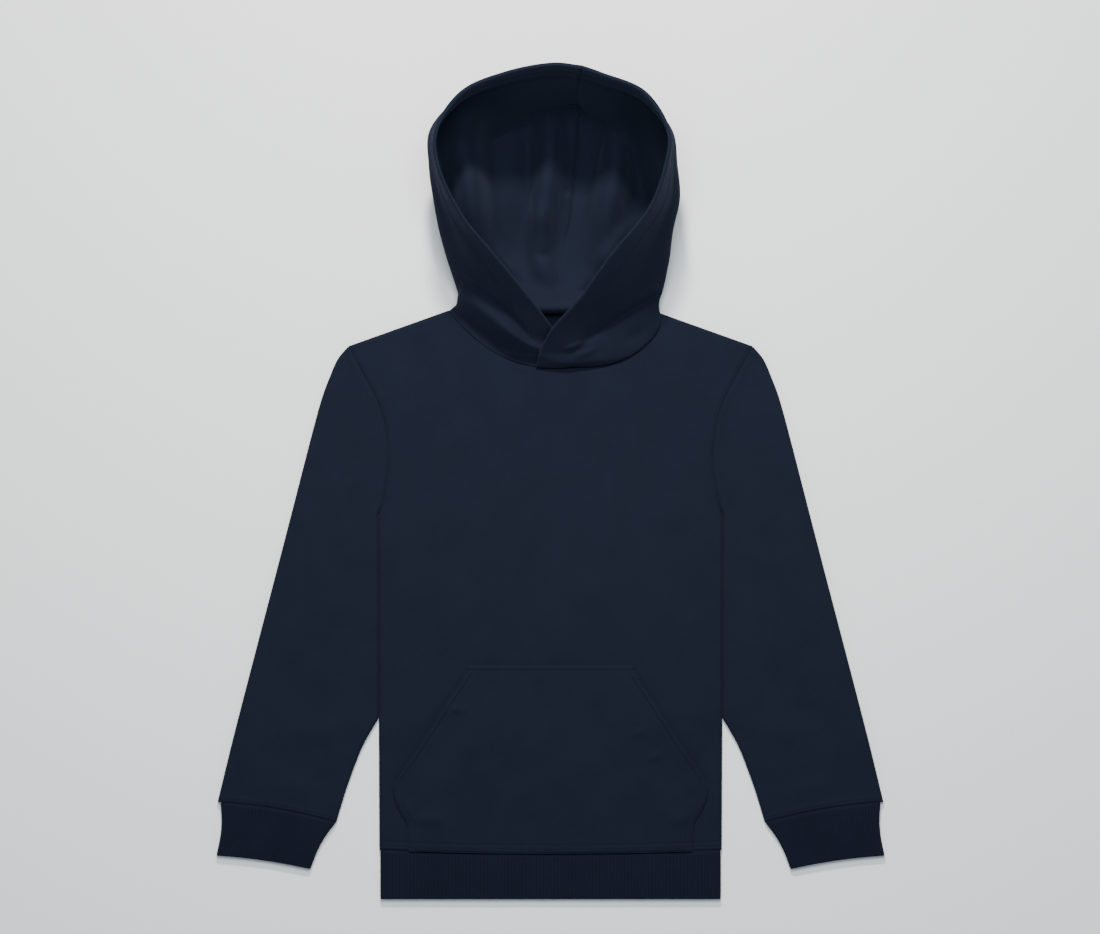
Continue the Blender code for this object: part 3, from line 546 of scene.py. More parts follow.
def shell(name, layers, material, inside=None):
    """One closed thin shell. Each layer is (outer skin, inner skin, cloth coordinates, open edges).

    Open edges names the sides of the grid that are cut: left and right are its first and last
    columns, start and end its first and last rows. An edge may give which of its faces are cut.
    """
    points, faces, cloth, within, first = [], [], [], [], 0
    for outer, inner, coordinates, open_edges in layers:
        rows, columns = outer.shape[:2]
        out, inn = first + np.arange(2 * rows * columns).reshape(2, rows, columns)
        borders = {"start": (out[0], inn[0]), "end": (out[-1], inn[-1]),
                   "left": (out[:, 0], inn[:, 0]), "right": (out[:, -1], inn[:, -1])}
        parts = [grid_faces(out), grid_faces(inn)[:, ::-1]]
        parts += [cut_faces(*borders[side], keep) for side, keep in open_edges.items()]
        faces += parts
        within += [np.full(len(part), part is parts[1]) for part in parts]  # the inner skin's faces
        points += [outer.reshape(-1, 3), inner.reshape(-1, 3)]
        cloth += [coordinates.reshape(-1, 2)] * 2
        first += 2 * rows * columns
    points, faces, cloth, within = map(np.concatenate, (points, faces, cloth, within))
    mesh = quad_mesh(name, points, faces, cloth)
    if inside:
        mesh.polygons.foreach_set("material_index", within.astype(np.int32))
    bm = bmesh.new()
    bm.from_mesh(mesh)
    bmesh.ops.remove_doubles(bm, verts=bm.verts, dist=WELD * MM)
    bmesh.ops.dissolve_degenerate(bm, dist=WELD / 4 * MM, edges=bm.edges)
    bmesh.ops.recalc_face_normals(bm, faces=bm.faces)
    bm.to_mesh(mesh)
    bm.free()
    return smooth_piece(mesh, filter(None, (material, inside)))


def sheet_shell(name, outer, inner, coordinates, inside=None):
    """A shell of one layer that is cut all round."""
    cut = dict.fromkeys(("start", "end", "left", "right"))
    return shell(name, [(outer, inner, coordinates, cut)], FLEECE, inside)


def cloth_coordinates(grid):
    """Length walked across and along a grid of points, for the knit."""
    across = np.linalg.norm(np.diff(grid, axis=1), axis=2)
    along = np.linalg.norm(np.diff(grid, axis=0), axis=2)
    across = np.concatenate((np.zeros((len(grid), 1)), np.cumsum(across, axis=1)), axis=1)
    along = np.concatenate((np.zeros((1, grid.shape[1])), np.cumsum(along, axis=0)))
    return stacked(across, along)


def as_cloth(piece, node):
    """Attach a shell to the root as the cloth that stands for a node, and hide the node's solid."""
    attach(piece, "root")
    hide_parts(node)
    return piece


# ---- materials

def node_of(tree, kind, **settings):
    node = tree.nodes.new(kind)
    for name, value in settings.items():
        setattr(node, name, value)
    return node


def set_inputs(node, values):
    for name, value in values.items():
        node.inputs[name].default_value = value


def math_node(tree, operation, *values):
    """A Math node; each value is a number or a socket."""
    node = node_of(tree, "ShaderNodeMath", operation=operation)
    for socket, value in zip(node.inputs, values):
        if isinstance(value, (int, float)):
            socket.default_value = value
        else:
            tree.links.new(value, socket)
    return node.outputs[0]


def noise(tree, place, scale, detail, roughness=0.55):
    node = node_of(tree, "ShaderNodeTexNoise")
    set_inputs(node, {"Scale": scale, "Detail": detail, "Roughness": roughness})
    tree.links.new(place, node.inputs["Vector"])
    return node.outputs["Fac"]


def knit_height(tree, wale, course):
    """Height of the V stitches of jersey, from the cloth coordinates in millimetres."""
    cloth = node_of(tree, "ShaderNodeUVMap", uv_map="cloth").outputs[0]
    parts = node_of(tree, "ShaderNodeSeparateXYZ")
    tree.links.new(cloth, parts.inputs[0])
    column = math_node(tree, "FRACT", math_node(tree, "DIVIDE", parts.outputs[0], wale))
    leg = math_node(tree, "ABSOLUTE", math_node(tree, "SUBTRACT", column, 0.5))
    place = math_node(tree, "DIVIDE", parts.outputs[1], course)
    slanted = math_node(tree, "MULTIPLY_ADD", leg, -1.3, place)
    loops = math_node(tree, "SINE", math_node(tree, "MULTIPLY", slanted, 2 * math.pi))
    round_leg = math_node(tree, "SINE", math_node(tree, "MULTIPLY", leg, 2 * math.pi))
    return math_node(tree, "MULTIPLY_ADD", loops, 0.35, round_leg)


def bump(tree, height, strength, reach, normal=None):
    """Normal with a bump of a height in millimetres added."""
    node = node_of(tree, "ShaderNodeBump")
    set_inputs(node, {"Strength": strength, "Distance": reach * MM})
    tree.links.new(height, node.inputs["Height"])
    if normal:
        tree.links.new(normal, node.inputs["Normal"])
    return node.outputs[0]


def cloth_material(name, colour, wale, course, knit, fuzz, sheen):
    """Brushed knit: uneven dye, V stitches with painted shade in their hollows, fuzz and a little sheen.
    """
    material = bpy.data.materials.new(name)
    material.use_nodes = True
    tree = material.node_tree
    shader = tree.nodes["Principled BSDF"]
    set_inputs(shader, {"Roughness": 0.95, "Specular IOR Level": 0.03, "Sheen Weight": sheen,
                        "Sheen Roughness": 0.45, "Sheen Tint": SHEEN_TINT})
    place = node_of(tree, "ShaderNodeTexCoord").outputs["Object"]
    stitches = knit_height(tree, wale, course)
    shade = SHADE
    # The dye and lint vary the tone; the stitch pattern darkens the colour in the knit's hollows, which is
    # painted shade.
    for pattern, share in ((noise(tree, place, *DYE), DYE_SHADE), (noise(tree, place, *LINT), LINT_SHADE),
                           (stitches, STITCH_HOLLOW_PAINTED_SHADE)):
        shade = math_node(tree, "MULTIPLY_ADD", pattern, share, shade)
    mix = node_of(tree, "ShaderNodeMix", data_type="RGBA", blend_type="MULTIPLY")
    set_inputs(mix, {"Factor": 1.0, "A": (*colour, 1.0)})
    tree.links.new(shade, mix.inputs["B"])
    tree.links.new(mix.outputs["Result"], shader.inputs["Base Color"])
    weave = bump(tree, stitches, knit, WEAVE_REACH)
    nap = bump(tree, noise(tree, place, *NAP), fuzz, NAP_REACH, weave)
    tree.links.new(nap, shader.inputs["Normal"])
    return material


FLEECE = cloth_material("navy_fleece", NAVY, wale=0.85, course=0.65, knit=0.35, fuzz=0.35, sheen=0.045)
# For the hood's inner faces: a lighter navy, partly painted fill light in the hood's shade.
FLEECE_INSIDE_PAINTED_FILL = cloth_material("navy_fleece_inside_painted_fill", NAVY_INSIDE_PAINTED_FILL,
                        wale=0.85, course=0.65, knit=0.15, fuzz=0.55, sheen=0.08)
# The rib's darker navy is painted shade of its valleys.
RIB_CLOTH_PAINTED_SHADE = cloth_material("navy_rib", NAVY_RIB_PAINTED_SHADE, wale=1.3, course=0.7, knit=0.35, fuzz=0.30, sheen=0.025)
THREAD = cloth_material("navy_thread", NAVY_THREAD, wale=0.3, course=0.3, knit=0.2, fuzz=0.2, sheen=0.03)


# ---- front and back

def edge_steps(fold, wall):
    """Reach in from an edge and height there, round a fold (1) or straight in from a cut (0)."""
    fold = np.asarray(fold, float)[..., None]
    turn = LAID_HALF - wall
    reach = fold * (wall + turn * (1 - np.cos(TURN))) + (1 - fold) * LAID_HALF * TURN / TURN[-1]
    return reach, fold * np.sin(TURN) + (1 - fold)


def between_edges(first, grid, last):
    """Heights of a grid from 0 to 1, from those at its first and its last edge inwards."""
    middle = np.ones((len(grid), grid.shape[1] - 2 * len(TURN)))
    return np.concatenate((first, middle, last[:, ::-1]), axis=1)


def body_side(direction):
    side = [(BODY_HALF_AT_HEM, HEM_SEAM_Y), (BODY_HALF_AT_HEM + 0.5, -150.0), UNDERARM]
    return Route(*[[(direction * (x - JOIN / 2), y) for x, y in stretch]
                   for stretch in (side, ARMHOLE)])


BODY_LEFT_EDGE = body_side(-1)
BODY_RIGHT_EDGE = body_side(+1)
BODY_LENGTH = BODY_LEFT_EDGE.length
UNDERARM_SHARE = BODY_LEFT_EDGE.share_at_y(UNDERARM[1])
ARMHOLE_ROUTE = Route([(x - JOIN / 2, y) for x, y in ARMHOLE])
ARMHOLE_LINE = ARMHOLE_ROUTE.line[::6]
NECK_STOPS = NECK_POINT[0] * np.sin(np.linspace(-math.pi / 2, math.pi / 2, 41))


def body_points(u, v, neck_y):
    """Places on the laid body: u runs from side to side, v from the hem up to the top edge."""
    def low(share):
        x = BODY_LEFT_EDGE.at(0)[0] * (1 - 2 * share)
        return stacked(x, hem_seam_y(x))

    def high(share):
        x = BODY_LEFT_EDGE.at(1)[0] * (1 - 2 * share)
        return stacked(x, np.where(np.abs(x) > NECK_POINT[0], shoulder_y(x), neck_y(x)))

    return patch(low, high, BODY_LEFT_EDGE.at, BODY_RIGHT_EDGE.at, u, v)


def neck_turn(x, steep=1.0):
    """0 at the neck's corner and outside it, and 1 from the depth of a fold inside it."""
    return np.clip((NECK_POINT[0] - np.abs(x)) * steep / LAID_HALF, 0.0, 1.0)


def body_grid(neck_y, wall):
    """u, v and height from 0 to 1 for each point of one skin of the front or back."""
    hem = SEAM_ROWS / BODY_LENGTH
    top = 1 - NEAR_SEAM[::-1] / BODY_LENGTH
    side = np.linspace(hem[-1], UNDERARM_SHARE, BODY_ROWS[0])[1:]
    arm = np.linspace(UNDERARM_SHARE, top[0], BODY_ROWS[1])[1:-1]
    v = np.concatenate((hem, side, arm, top, np.ones(len(TURN))))
    fold = 1 - smooth((v - UNDERARM_SHARE) * BODY_LENGTH / UNDERARM_TURN)
    width = 2 * np.abs(BODY_LEFT_EDGE.at(v)[:, 0])[:, None]
    reach, height = edge_steps(fold, wall)
    near = np.concatenate((reach, np.tile(NEAR_SEAM, (len(v), 1))), axis=1) / width
    half = abs(BODY_LEFT_EDGE.at(1)[0])
    corner = (half - NECK_POINT[0]) / (2 * half)
    outer_part = near[:, -1:] + (corner - near[:, -1:]) * np.linspace(0, 1, BODY_COLUMNS[0])[1:]
    inner_part = corner + (0.5 - corner) * np.linspace(0, 1, BODY_COLUMNS[1])[1:-1] ** 1.15
    left = np.concatenate((near, outer_part, np.tile(inner_part, (len(v), 1))), axis=1)
    u = np.concatenate((left, np.full((len(v), 1), 0.5), 1 - left[:, ::-1]), axis=1)
    rise = between_edges(height, u, height)
    places = np.tile(v[:, None], (1, u.shape[1]))
    x_top = -half * (1 - 2 * u[-1])
    top_fold = 1 - arc(neck_turn(x_top, steepness(neck_y, x_top)))
    top_reach, top_rise = edge_steps(top_fold, wall)
    last = slice(len(v) - len(TURN), None)
    places[last] = 1.0 - top_reach.T[::-1] / BODY_LENGTH
    rise[last] *= top_rise.T[::-1]
    return u, places, rise


def front_crown(u, v):
    bow = np.sin(math.pi * np.clip(u, 0, 1)) ** 0.7 * np.sin(math.pi * np.clip(v, 0, 1))
    return BODY_CROWN * np.maximum(bow, 0.0)


def front_relief(x, y):
    """Height that the front's folds add at x, y, away from the hem and the top edge."""
    height = folded(FRONT_FOLDS, x, y) + FRONT_WAVES * waves(x, y, 0.4)
    below = shoulder_y(np.maximum(np.abs(x), NECK_POINT[0])) - y
    return height * smooth((y - hem_seam_y(x)) / BODY_CALM) * smooth(below / BODY_CALM)


def neck_line(neck_y):
    return stacked(NECK_STOPS, neck_y(NECK_STOPS))


def body_seams(x, y, neck_y, raised):
    """Height that the body's seams add along its hem, armholes and neck."""
    height = seam_relief(np.abs(y - hem_seam_y(x)), HEM_LINES, x, raised)
    away, share = distance(np.abs(x), y, ARMHOLE_LINE)
    height += seam_relief(away, ARMHOLE_LINES, share * ARMHOLE_ROUTE.length, raised)
    away, _ = distance(x, y, neck_line(neck_y))
    along = np.clip(x, -NECK_POINT[0] + 0.2, NECK_POINT[0] - 0.2)
    return height + seam_relief(away, NECK_LINES, along, raised)


def make_body(name, neck_y, side):
    """Front (side +1) or back (side -1), each a skin above or below the laid garment's mid-height."""
    skins = []
    for wall in (0.0, WALL):
        u, v, rise = body_grid(neck_y, wall)
        xy = body_points(u, v, neck_y)
        x, y = xy[..., 0], xy[..., 1]
        thick = LAID_HALF - wall - LAYER_GAP / 2
        if side > 0:
            level = LAYER_GAP / 2 + (thick + front_crown(u, v)) * rise
            if wall == 0.0:
                level += (front_relief(x, y) + body_seams(x, y, neck_y, SEAM_RIDGE)) * rise
        else:
            lifted = np.maximum(folded(BACK_FOLDS, x, y), 0.0) * smooth(1.4 * rise - 0.4)
            level = -LAYER_GAP / 2 - thick * rise + lifted
            if wall == 0.0:
                level -= body_seams(x, y, neck_y, 0.0) * rise
                level = np.maximum(level, -LAID_HALF)
        skins.append(stacked(x, y, LAID_HALF + level))
    piece = sheet_shell(name + "_cloth", *skins, skins[0][..., :2])
    return as_cloth(piece, name)


# ---- sleeves

SLEEVE_OUTER_EDGE = Route((SHOULDER_TIP,) + SLEEVE_OUTER)
SLEEVE_INNER_EDGE = Route(*[[(x + JOIN / 2, y) for x, y in stretch]
                            for stretch in (ARMHOLE[::-1], SLEEVE_INNER, SLEEVE_SWING)])
ARMHOLE_SHARE = SLEEVE_INNER_EDGE.share_at_y(UNDERARM[1])


def cuff_seam(share):
    """Seam between sleeve and cuff, from the outer to the inner fold."""
    outer, inner = SLEEVE_OUTER_EDGE.at(1), SLEEVE_INNER_EDGE.at(1)
    share = np.asarray(share, float)[..., None]
    return outer + (inner - outer) * share + np.array([0, CUFF_SEAM_RISE]) * np.sin(math.pi * share)


CUFF_WIDTH = float(np.linalg.norm(cuff_seam(1.0) - cuff_seam(0.0)))


def sleeve_points(u, v):
    """Places on the laid sleeve: u from outer to inner fold, v from the shoulder to the cuff."""
    outer_tip, inner_tip = SLEEVE_OUTER_EDGE.at(0), SLEEVE_INNER_EDGE.at(0)

    def tip(share):
        return outer_tip + (inner_tip - outer_tip) * share[..., None]

    return patch(tip, cuff_seam, SLEEVE_OUTER_EDGE.at, SLEEVE_INNER_EDGE.at, u, v)


def sleeve_layer(side, direction):
    """Outer and inner skin of the upper (+1) or lower (-1) layer of a sleeve."""
    length = SLEEVE_INNER_EDGE.length
    tip, cuff = ARMHOLE_ROWS / length, 1 - SEAM_ROWS[::-1] / length
    arm = np.linspace(tip[-1], ARMHOLE_SHARE, SLEEVE_ROWS[0])[1:]
    v = np.concatenate((tip, arm, np.linspace(ARMHOLE_SHARE, cuff[0], SLEEVE_ROWS[1])[1:-1], cuff))
    width = np.linalg.norm(SLEEVE_INNER_EDGE.at(v) - SLEEVE_OUTER_EDGE.at(v), axis=1)[:, None]
    squeeze = np.minimum(1.0, width / (SLEEVE_NARROW * LAID_HALF))
    parted = smooth((v * length - SLEEVE_TIP_START) / SLEEVE_TIP_CLOSING)[:, None]
    fold = 1 - smooth((ARMHOLE_SHARE - v) * length / UNDERARM_TURN)
    skins = []
    for wall in (0.0, WALL):
        outer_reach, outer_rise = edge_steps(np.ones(len(v)), wall)
        inner_reach, inner_rise = edge_steps(fold, wall)
        near = np.concatenate((inner_reach, np.tile(NEAR_SEAM, (len(v), 1))), axis=1)
        room = np.minimum(1.0, SLEEVE_ROOM * width / near[:, -1:])
        left, right = outer_reach * squeeze / width, 1 - near[:, ::-1] * room / width
        between = left[:, -1:] + (right[:, :1] - left[:, -1:]) * np.linspace(0, 1, SLEEVE_COLUMNS)[1:-1]
        u = np.concatenate((left, between, right), axis=1)
        rise = between_edges(outer_rise, u, inner_rise)
        u[0], rise[0] = 1.0, 0.0
        rise *= np.maximum(parted, 1e-3)
        xy = sleeve_points(u, np.tile(v[:, None], (1, u.shape[1])))
        x, y = xy[..., 0], xy[..., 1]
        level = (LAID_HALF - wall) * rise
        if wall == 0.0:
            level += sleeve_relief(x, y, side) * rise
            if side < 0:
                level = np.minimum(level, LAID_HALF)
        skins.append(stacked(direction * x, y, LAID_HALF + side * level))
    armhole_rows = v[:-1] < ARMHOLE_SHARE - 1e-6
    return skins[0], skins[1], skins[0][..., :2], {"end": None, "right": armhole_rows}


def sleeve_relief(x, y, side):
    """Height that the folds and seams of a sleeve's upper (+1) or lower (-1) layer add."""
    height = folded(SLEEVE_FOLDS, x, y) * SLEEVE_FOLD_SHARE[side]
    height += SLEEVE_WAVES * waves(x, y, 1.3 * side)
    raised = SEAM_RIDGE * (side > 0)
    away, share = distance(x, y, ARMHOLE_LINE)
    height *= smooth(away / SLEEVE_CALM)
    height += seam_relief(away, (), share * ARMHOLE_ROUTE.length, raised)
    away, share = distance(x, y, cuff_seam(np.linspace(0, 1, 17)))
    return height + seam_relief(away, CUFF_LINES, share * CUFF_SEAM_LENGTH, raised)


def make_sleeve(name, direction):
    layers = [sleeve_layer(side, direction) for side in (+1, -1)]
    piece = shell(name + "_cloth", layers, FLEECE)
    return as_cloth(piece, name)


# ---- ribbed bands

def band_layer(place, length, ribs, side):
    """Outer and inner skin of one layer of a flattened ribbed tube."""
    between = np.linspace(BAND_BETWEEN, length - BAND_BETWEEN, BAND_ROWS)
    from_seam = np.concatenate((BAND_END_ROWS, between, length - BAND_END_ROWS[::-1]))[:, None]
    from_end, along = length - from_seam, from_seam[:, 0] / length
    count = ribs * RIB_STEPS
    k = np.arange(count + 1)
    width = np.linalg.norm(place(np.array(1.0), along) - place(np.array(0.0), along), axis=-1)[:, None]
    quarter = math.pi / 2 * LAID_HALF
    walk = (width - 2 * LAID_HALF + 2 * quarter) * np.minimum(k, count - k) / count
    angle = np.minimum(walk / LAID_HALF, math.pi / 2)
    rib = np.abs(np.sin(math.pi * k / RIB_STEPS)) ** RIB_ROUNDNESS
    swell = smooth(from_seam / 2.4) * (0.55 + 0.45 * smooth(from_end / 3.0))
    round_off = arc(from_end / BAND_ROUND)
    seam_roll = ridge(from_seam, BAND_ROLL) * (side > 0)
    middle = LAID_HALF - WALL / 2
    skins = []
    for wall in (0.0, WALL):
        turn = LAID_HALF - wall
        raised = RIB_HEIGHT * swell * (rib - (side < 0)) * (wall == 0.0)
        reach = wall + turn * (1 - np.cos(angle)) + np.maximum(walk - quarter, 0.0)
        reach = reach - np.cos(angle) * raised * (side > 0)
        level = (turn + raised) * np.sin(angle)
        if wall == 0.0:
            level = level - seam_roll * np.sin(angle)
            level = np.where(level > middle, middle + (level - middle) * (0.1 + 0.9 * round_off), level)
        else:
            level = level + 0.9 * (middle - turn) * (1 - round_off) * np.sin(angle)
        u = np.where(k <= count / 2, reach / width, 1 - reach / width)
        xy = place(u, np.tile(along[:, None], (1, count + 1)))
        skins.append(stacked(xy[..., 0], xy[..., 1], LAID_HALF + side * level))
    coordinates = stacked(k * RIB_PITCH / RIB_STEPS, from_seam)
    return skins[0], skins[1], coordinates, {"start": None, "end": None}


def hem_place(across, along):
    x = HEM_HALF_WIDTH * (2 * across - 1)
    y = (1 - along) * (hem_seam_y(x) - JOIN) + along * HEM_END_Y
    return stacked(x, y)


def cuff_place(direction):
    outer_end, inner_end = np.array(CUFF_OUTER_END), np.array(CUFF_INNER_END)

    def place(across, along):
        waist = CUFF_WAIST * np.sin(math.pi * along)
        outer, inner = ((step * (1 - along) + waist) / CUFF_WIDTH for step in CUFF_NARROWING)
        share = outer + across * (1 - outer - inner)
        seam = cuff_seam(share) - [0.0, JOIN]
        end = outer_end + (inner_end - outer_end) * share[..., None]
        end[..., 1] += CUFF_END_BOW * np.sin(math.pi * share)
        along = np.asarray(along)[..., None]
        return (seam * (1 - along) + end * along) * [direction, 1.0]

    return place


def make_band(name, place, length, width):
    layers = [band_layer(place, length, round(width / RIB_PITCH), side) for side in (+1, -1)]
    as_cloth(shell(name + "_rib", layers, RIB_CLOTH_PAINTED_SHADE), name)


# ---- pocket

def pocket_grid():
    """x, y and lift of the pocket's points, and their distances from its top and its side edge."""
    y_low, y_high = POCKET_ROWS[0][0], POCKET_ROWS[-1][0]
    length = y_high - y_low
    between = np.linspace(POCKET_BETWEEN, length - POCKET_BETWEEN, POCKET_GRID[0])
    rows = np.concatenate((POCKET_EDGE_ROWS, between, length - POCKET_EDGE_ROWS[::-1]))
    half, lift = looked_up(POCKET_ROWS, y_low + rows).T[..., None]
    near = POCKET_EDGE_ROWS / 100.0
    near = np.concatenate((near, np.linspace(near[-1] + 0.006, 1.0, POCKET_GRID[1])))
    across = np.concatenate((near - 1, (1 - near)[::-1][1:]))
    x = half * across
    near_hem = smooth((POCKET_HEM_REACH - rows) / POCKET_HEM_REACH)[:, None]
    y = (y_low + rows)[:, None] + near_hem * (hem_seam_y(x) + JOIN - y_low)
    out = np.abs(across)
    return x, y, lift * out ** POCKET_LIFT_POWER, y_high - y, (1 - out) * half * POCKET_SLANT


def pocket_relief(x, y, top, edge):
    """Height that the pocket's folds, edges, stitch lines and hem seam add."""
    opening = smooth((y - POCKET_OPENING[0]) / 4.0) * smooth((POCKET_OPENING[1] - y) / 4.0)
    below = smooth((POCKET_OPENING[0] - 12.0 - y) / 16.0)
    from_hem = y - hem_seam_y(x)
    relief = folded(POCKET_FOLDS, x, y) + POCKET_WAVES * waves(x, y, 2.2)
    relief *= smooth(np.minimum(edge, top) / POCKET_CALM + 0.15)
    relief -= pressed(edge, POCKET_SLANT_LINES) + pressed(top, POCKET_TOP_LINES)
    relief += ridge(top, POCKET_EDGE_ROLL) + ridge(edge, POCKET_EDGE_ROLL)
    relief += ridge(top, POCKET_TOP_RIDGE) + ridge(edge, POCKET_SLANT_RIDGE) * opening
    relief += ridge(edge, POCKET_SIDE_PRESS) * below + ridge(from_hem, POCKET_HEM_PRESS)
    relief += seam_relief(np.abs(from_hem), HEM_LINES, x)
    return np.maximum(relief, -POCKET_DEEPEST)


def make_pocket():
    x, y, lift, top, edge = pocket_grid()
    low = hem_seam_y(x)
    high = np.where(np.abs(x) < NECK_POINT[0], front_neck_y(x), shoulder_y(x))
    base = LAID_HALF * 2 + front_crown((x / BODY_HALF_AT_HEM + 1) / 2, (y - low) / (high - low))
    base += front_relief(x, y) + LAYER_GAP + lift
    outer = stacked(x, y, base + WALL + pocket_relief(x, y, top, edge))
    inner = stacked(x, y, base)
    piece = sheet_shell("pocket_cloth", outer, inner, outer[..., :2])
    return as_cloth(piece, "pocket")


# ---- hood

def back_foot(side, x):
    z = LAID_HALF * (1 - arc(neck_turn(x)))
    return stacked(side * x, back_neck_y(x) + JOIN, z)


def overlapped(side, x):
    """How far the left half has climbed onto the right half, from 0 to 1."""
    return smooth((OVERLAP_START - np.asarray(x)) / OVERLAP_CLIMB) * (side > 0)


def front_foot(side, x):
    """Foot of the hood on the front's neck edge; x is below 0 past the middle."""
    place = side * x
    steep = steepness(front_neck_y, place)
    turn = neck_turn(x, steep)
    z = LAID_HALF * (1 + arc(turn))
    if side > 0:
        over = overlapped(side, x)
        z = z + HOOD_OVERLAP_LIFT * over - FOOT_DROP * (1 - over) * turn
    return stacked(place, front_neck_y(place) + JOIN * steep, z)


def hood_controls(seam, line, side):
    """Points that one hood line runs through, from the back seam to the open edge."""
    seam = np.array([side * seam[0], seam[1], 0.0])
    leaving, over, rim, *between = line
    over, rim = np.array(over), np.array(rim)
    floor = seam + (over - seam) * leaving
    floor[2] = 0.0
    points = np.array([seam, floor, over, *(between or over + (rim - over) * HOOD_FRONT_SHARES), rim])
    points[:, 0] *= side
    return points


def hood_surface(side, lines, rows, finer):
    """Outer skin of half the hood. finer gives the grid's columns, in columns of the solid's."""
    steps = np.arange(LAST_COLUMN + 1)
    behind = finer <= CORNER_COLUMN
    back_x = np.interp(finer[behind], steps[:CORNER_COLUMN + 1], BACK_FOOT_X)
    front_x = np.interp(finer[~behind], steps[CORNER_COLUMN:], FRONT_FOOT_X)
    drawn = [np.concatenate((back_foot(side, back_x), front_foot(side, front_x)))]
    back = walked(back_foot(side, np.array(BACK_FOOT_X)))
    front = walked(front_foot(side, np.array(FRONT_FOOT_X)))
    for name, line in lines.items():
        route = Route(hood_controls(HOOD_SEAM[name], line, side))
        floor, widest = route.walked[[ROUTE_SAMPLES, 2 * ROUTE_SAMPLES]] / route.length
        places = np.interp(back, (0.0, back[FLOOR_COLUMN], back[-1]), (0, floor, widest))
        places = np.concatenate((places, widest + front[1:] / front[-1] * (1 - widest)))
        drawn.append(route.at(np.interp(finer, steps, places)))
    drawn = np.array(drawn)
    drawn[0, 0, 0] = 0.0
    grid = spline(drawn, rows)
    grid[..., 2] = np.maximum(grid[..., 2], 0.0)
    grid[:, 0, 0] += side * JOIN / 2
    grid[-1, 1:, 0] += side * JOIN / 2
    return grid


def tangents(grid, axis):
    """Direction of a grid's lines at each point, weighted by the distances to its neighbours."""
    lines = np.moveaxis(grid, axis, 0)
    steps = np.diff(lines, axis=0)
    reach = np.linalg.norm(steps, axis=2, keepdims=True)
    ways = unit(steps)
    total = np.maximum(reach[1:] + reach[:-1], 1e-6)
    middle = (ways[:-1] * reach[1:] + ways[1:] * reach[:-1]) / total
    return np.moveaxis(np.concatenate((ways[:1], middle, ways[-1:])), 0, axis)


def softened(field, times):
    """A grid of values averaged with its neighbours, to take out its unevenness."""
    for _ in range(times):
        for axis in (0, 1):
            wide = np.moveaxis(field, axis, 0)
            wide = np.concatenate((wide[:1], wide, wide[-1:]))
            field = np.moveaxis(0.5 * wide[1:-1] + 0.25 * (wide[:-2] + wide[2:]), 0, axis)
    return field


def normals_inwards(grid, side):
    normal = np.cross(tangents(grid, 1), tangents(grid, 0)) * side
    normal[-1, 0] = normal[-2, 0]
    return unit(softened(unit(normal), 2))


def foot_normals(foot, side):
    """At the neck the wall lies flat, face to face with the body's, and stands up where it slumps."""
    level = np.clip((foot[:, 2] - LAID_HALF) / LAID_HALF, -1.0, 1.0)
    if side > 0:
        level = np.where(level > 0, level * overlapped(side, foot[:, 0]), level)
    inwards = np.array([0.0, NECK_POINT[1] + JOIN]) - foot[:, :2]
    inwards *= (np.sqrt(1 - level ** 2) / np.linalg.norm(inwards, axis=1))[:, None]
    return np.concatenate((inwards, -level[:, None]), axis=1)


def hood_columns():
    """Columns of the finer grid: close together at the seam and at the open edge."""
    between, at_rim = HOOD_COLUMNS
    return np.concatenate((MIDDLE_SEAM_COLUMNS, np.linspace(0.54, LAST_COLUMN - 0.5, between),
                           LAST_COLUMN - 0.5 * np.linspace(1, 0, at_rim)[1:] ** 1.6))


def hood_rows(last):
    """Rows of the finer grid, in lines of the table: close together at the foot and the crown."""
    stops = (0, 1, 4, last - 1)
    even = [np.linspace(*ends)[:-1] for ends in zip(stops, stops[1:], HOOD_ROWS)]
    return np.concatenate((*even, last - np.linspace(1, 0, HOOD_ROWS[-1]) ** 1.4))


def with_folds(base, rows, finer, side):
    """The hood's skin with its pipes, its collar's folds, the roll behind the neck and its seam."""
    x, y, z = np.moveaxis(base, -1, 0)
    behind = finer <= CORNER_COLUMN
    full, end = COLLAR_ROWS
    in_collar = ~behind & (rows < end)[:, None]
    pipes = folded(HOOD_FOLDS, x, y) * smooth((PIPES_LOW[0] - z) / PIPES_LOW[1])
    pipes *= smooth((y - PIPES_OFF_NECK[0]) / PIPES_OFF_NECK[1])
    pipes *= smooth((PIPES_OFF_SIDE[0] - np.abs(x)) / PIPES_OFF_SIDE[1])
    collar = folded(COLLAR_FOLDS, x, y) * np.where(in_collar, smooth(rows / full)[:, None], 0.0)
    roll = looked_up(NECK_ROLL, rows)[:, None]
    half, fade = NECK_ROLL_HALF
    roll = roll * (behind * smooth((half - np.abs(x)) / fade))[..., None]
    away = np.hypot(x - x[:, :1], y - y[:, :1])
    rise = BESIDE_SEAM[side] * (1 - bell(away, BESIDE_SEAM_START)) * bell(away, BESIDE_SEAM_WIDTH)
    rise *= smooth((y - BESIDE_SEAM_END[0]) / BESIDE_SEAM_END[1]) * (finer < FLOOR_COLUMN)
    skin = base.copy()
    skin[..., 1] -= roll[..., 0]
    skin[..., 2] = np.maximum(z + pipes + rise + collar + roll[..., 1], 0.0)
    return skin


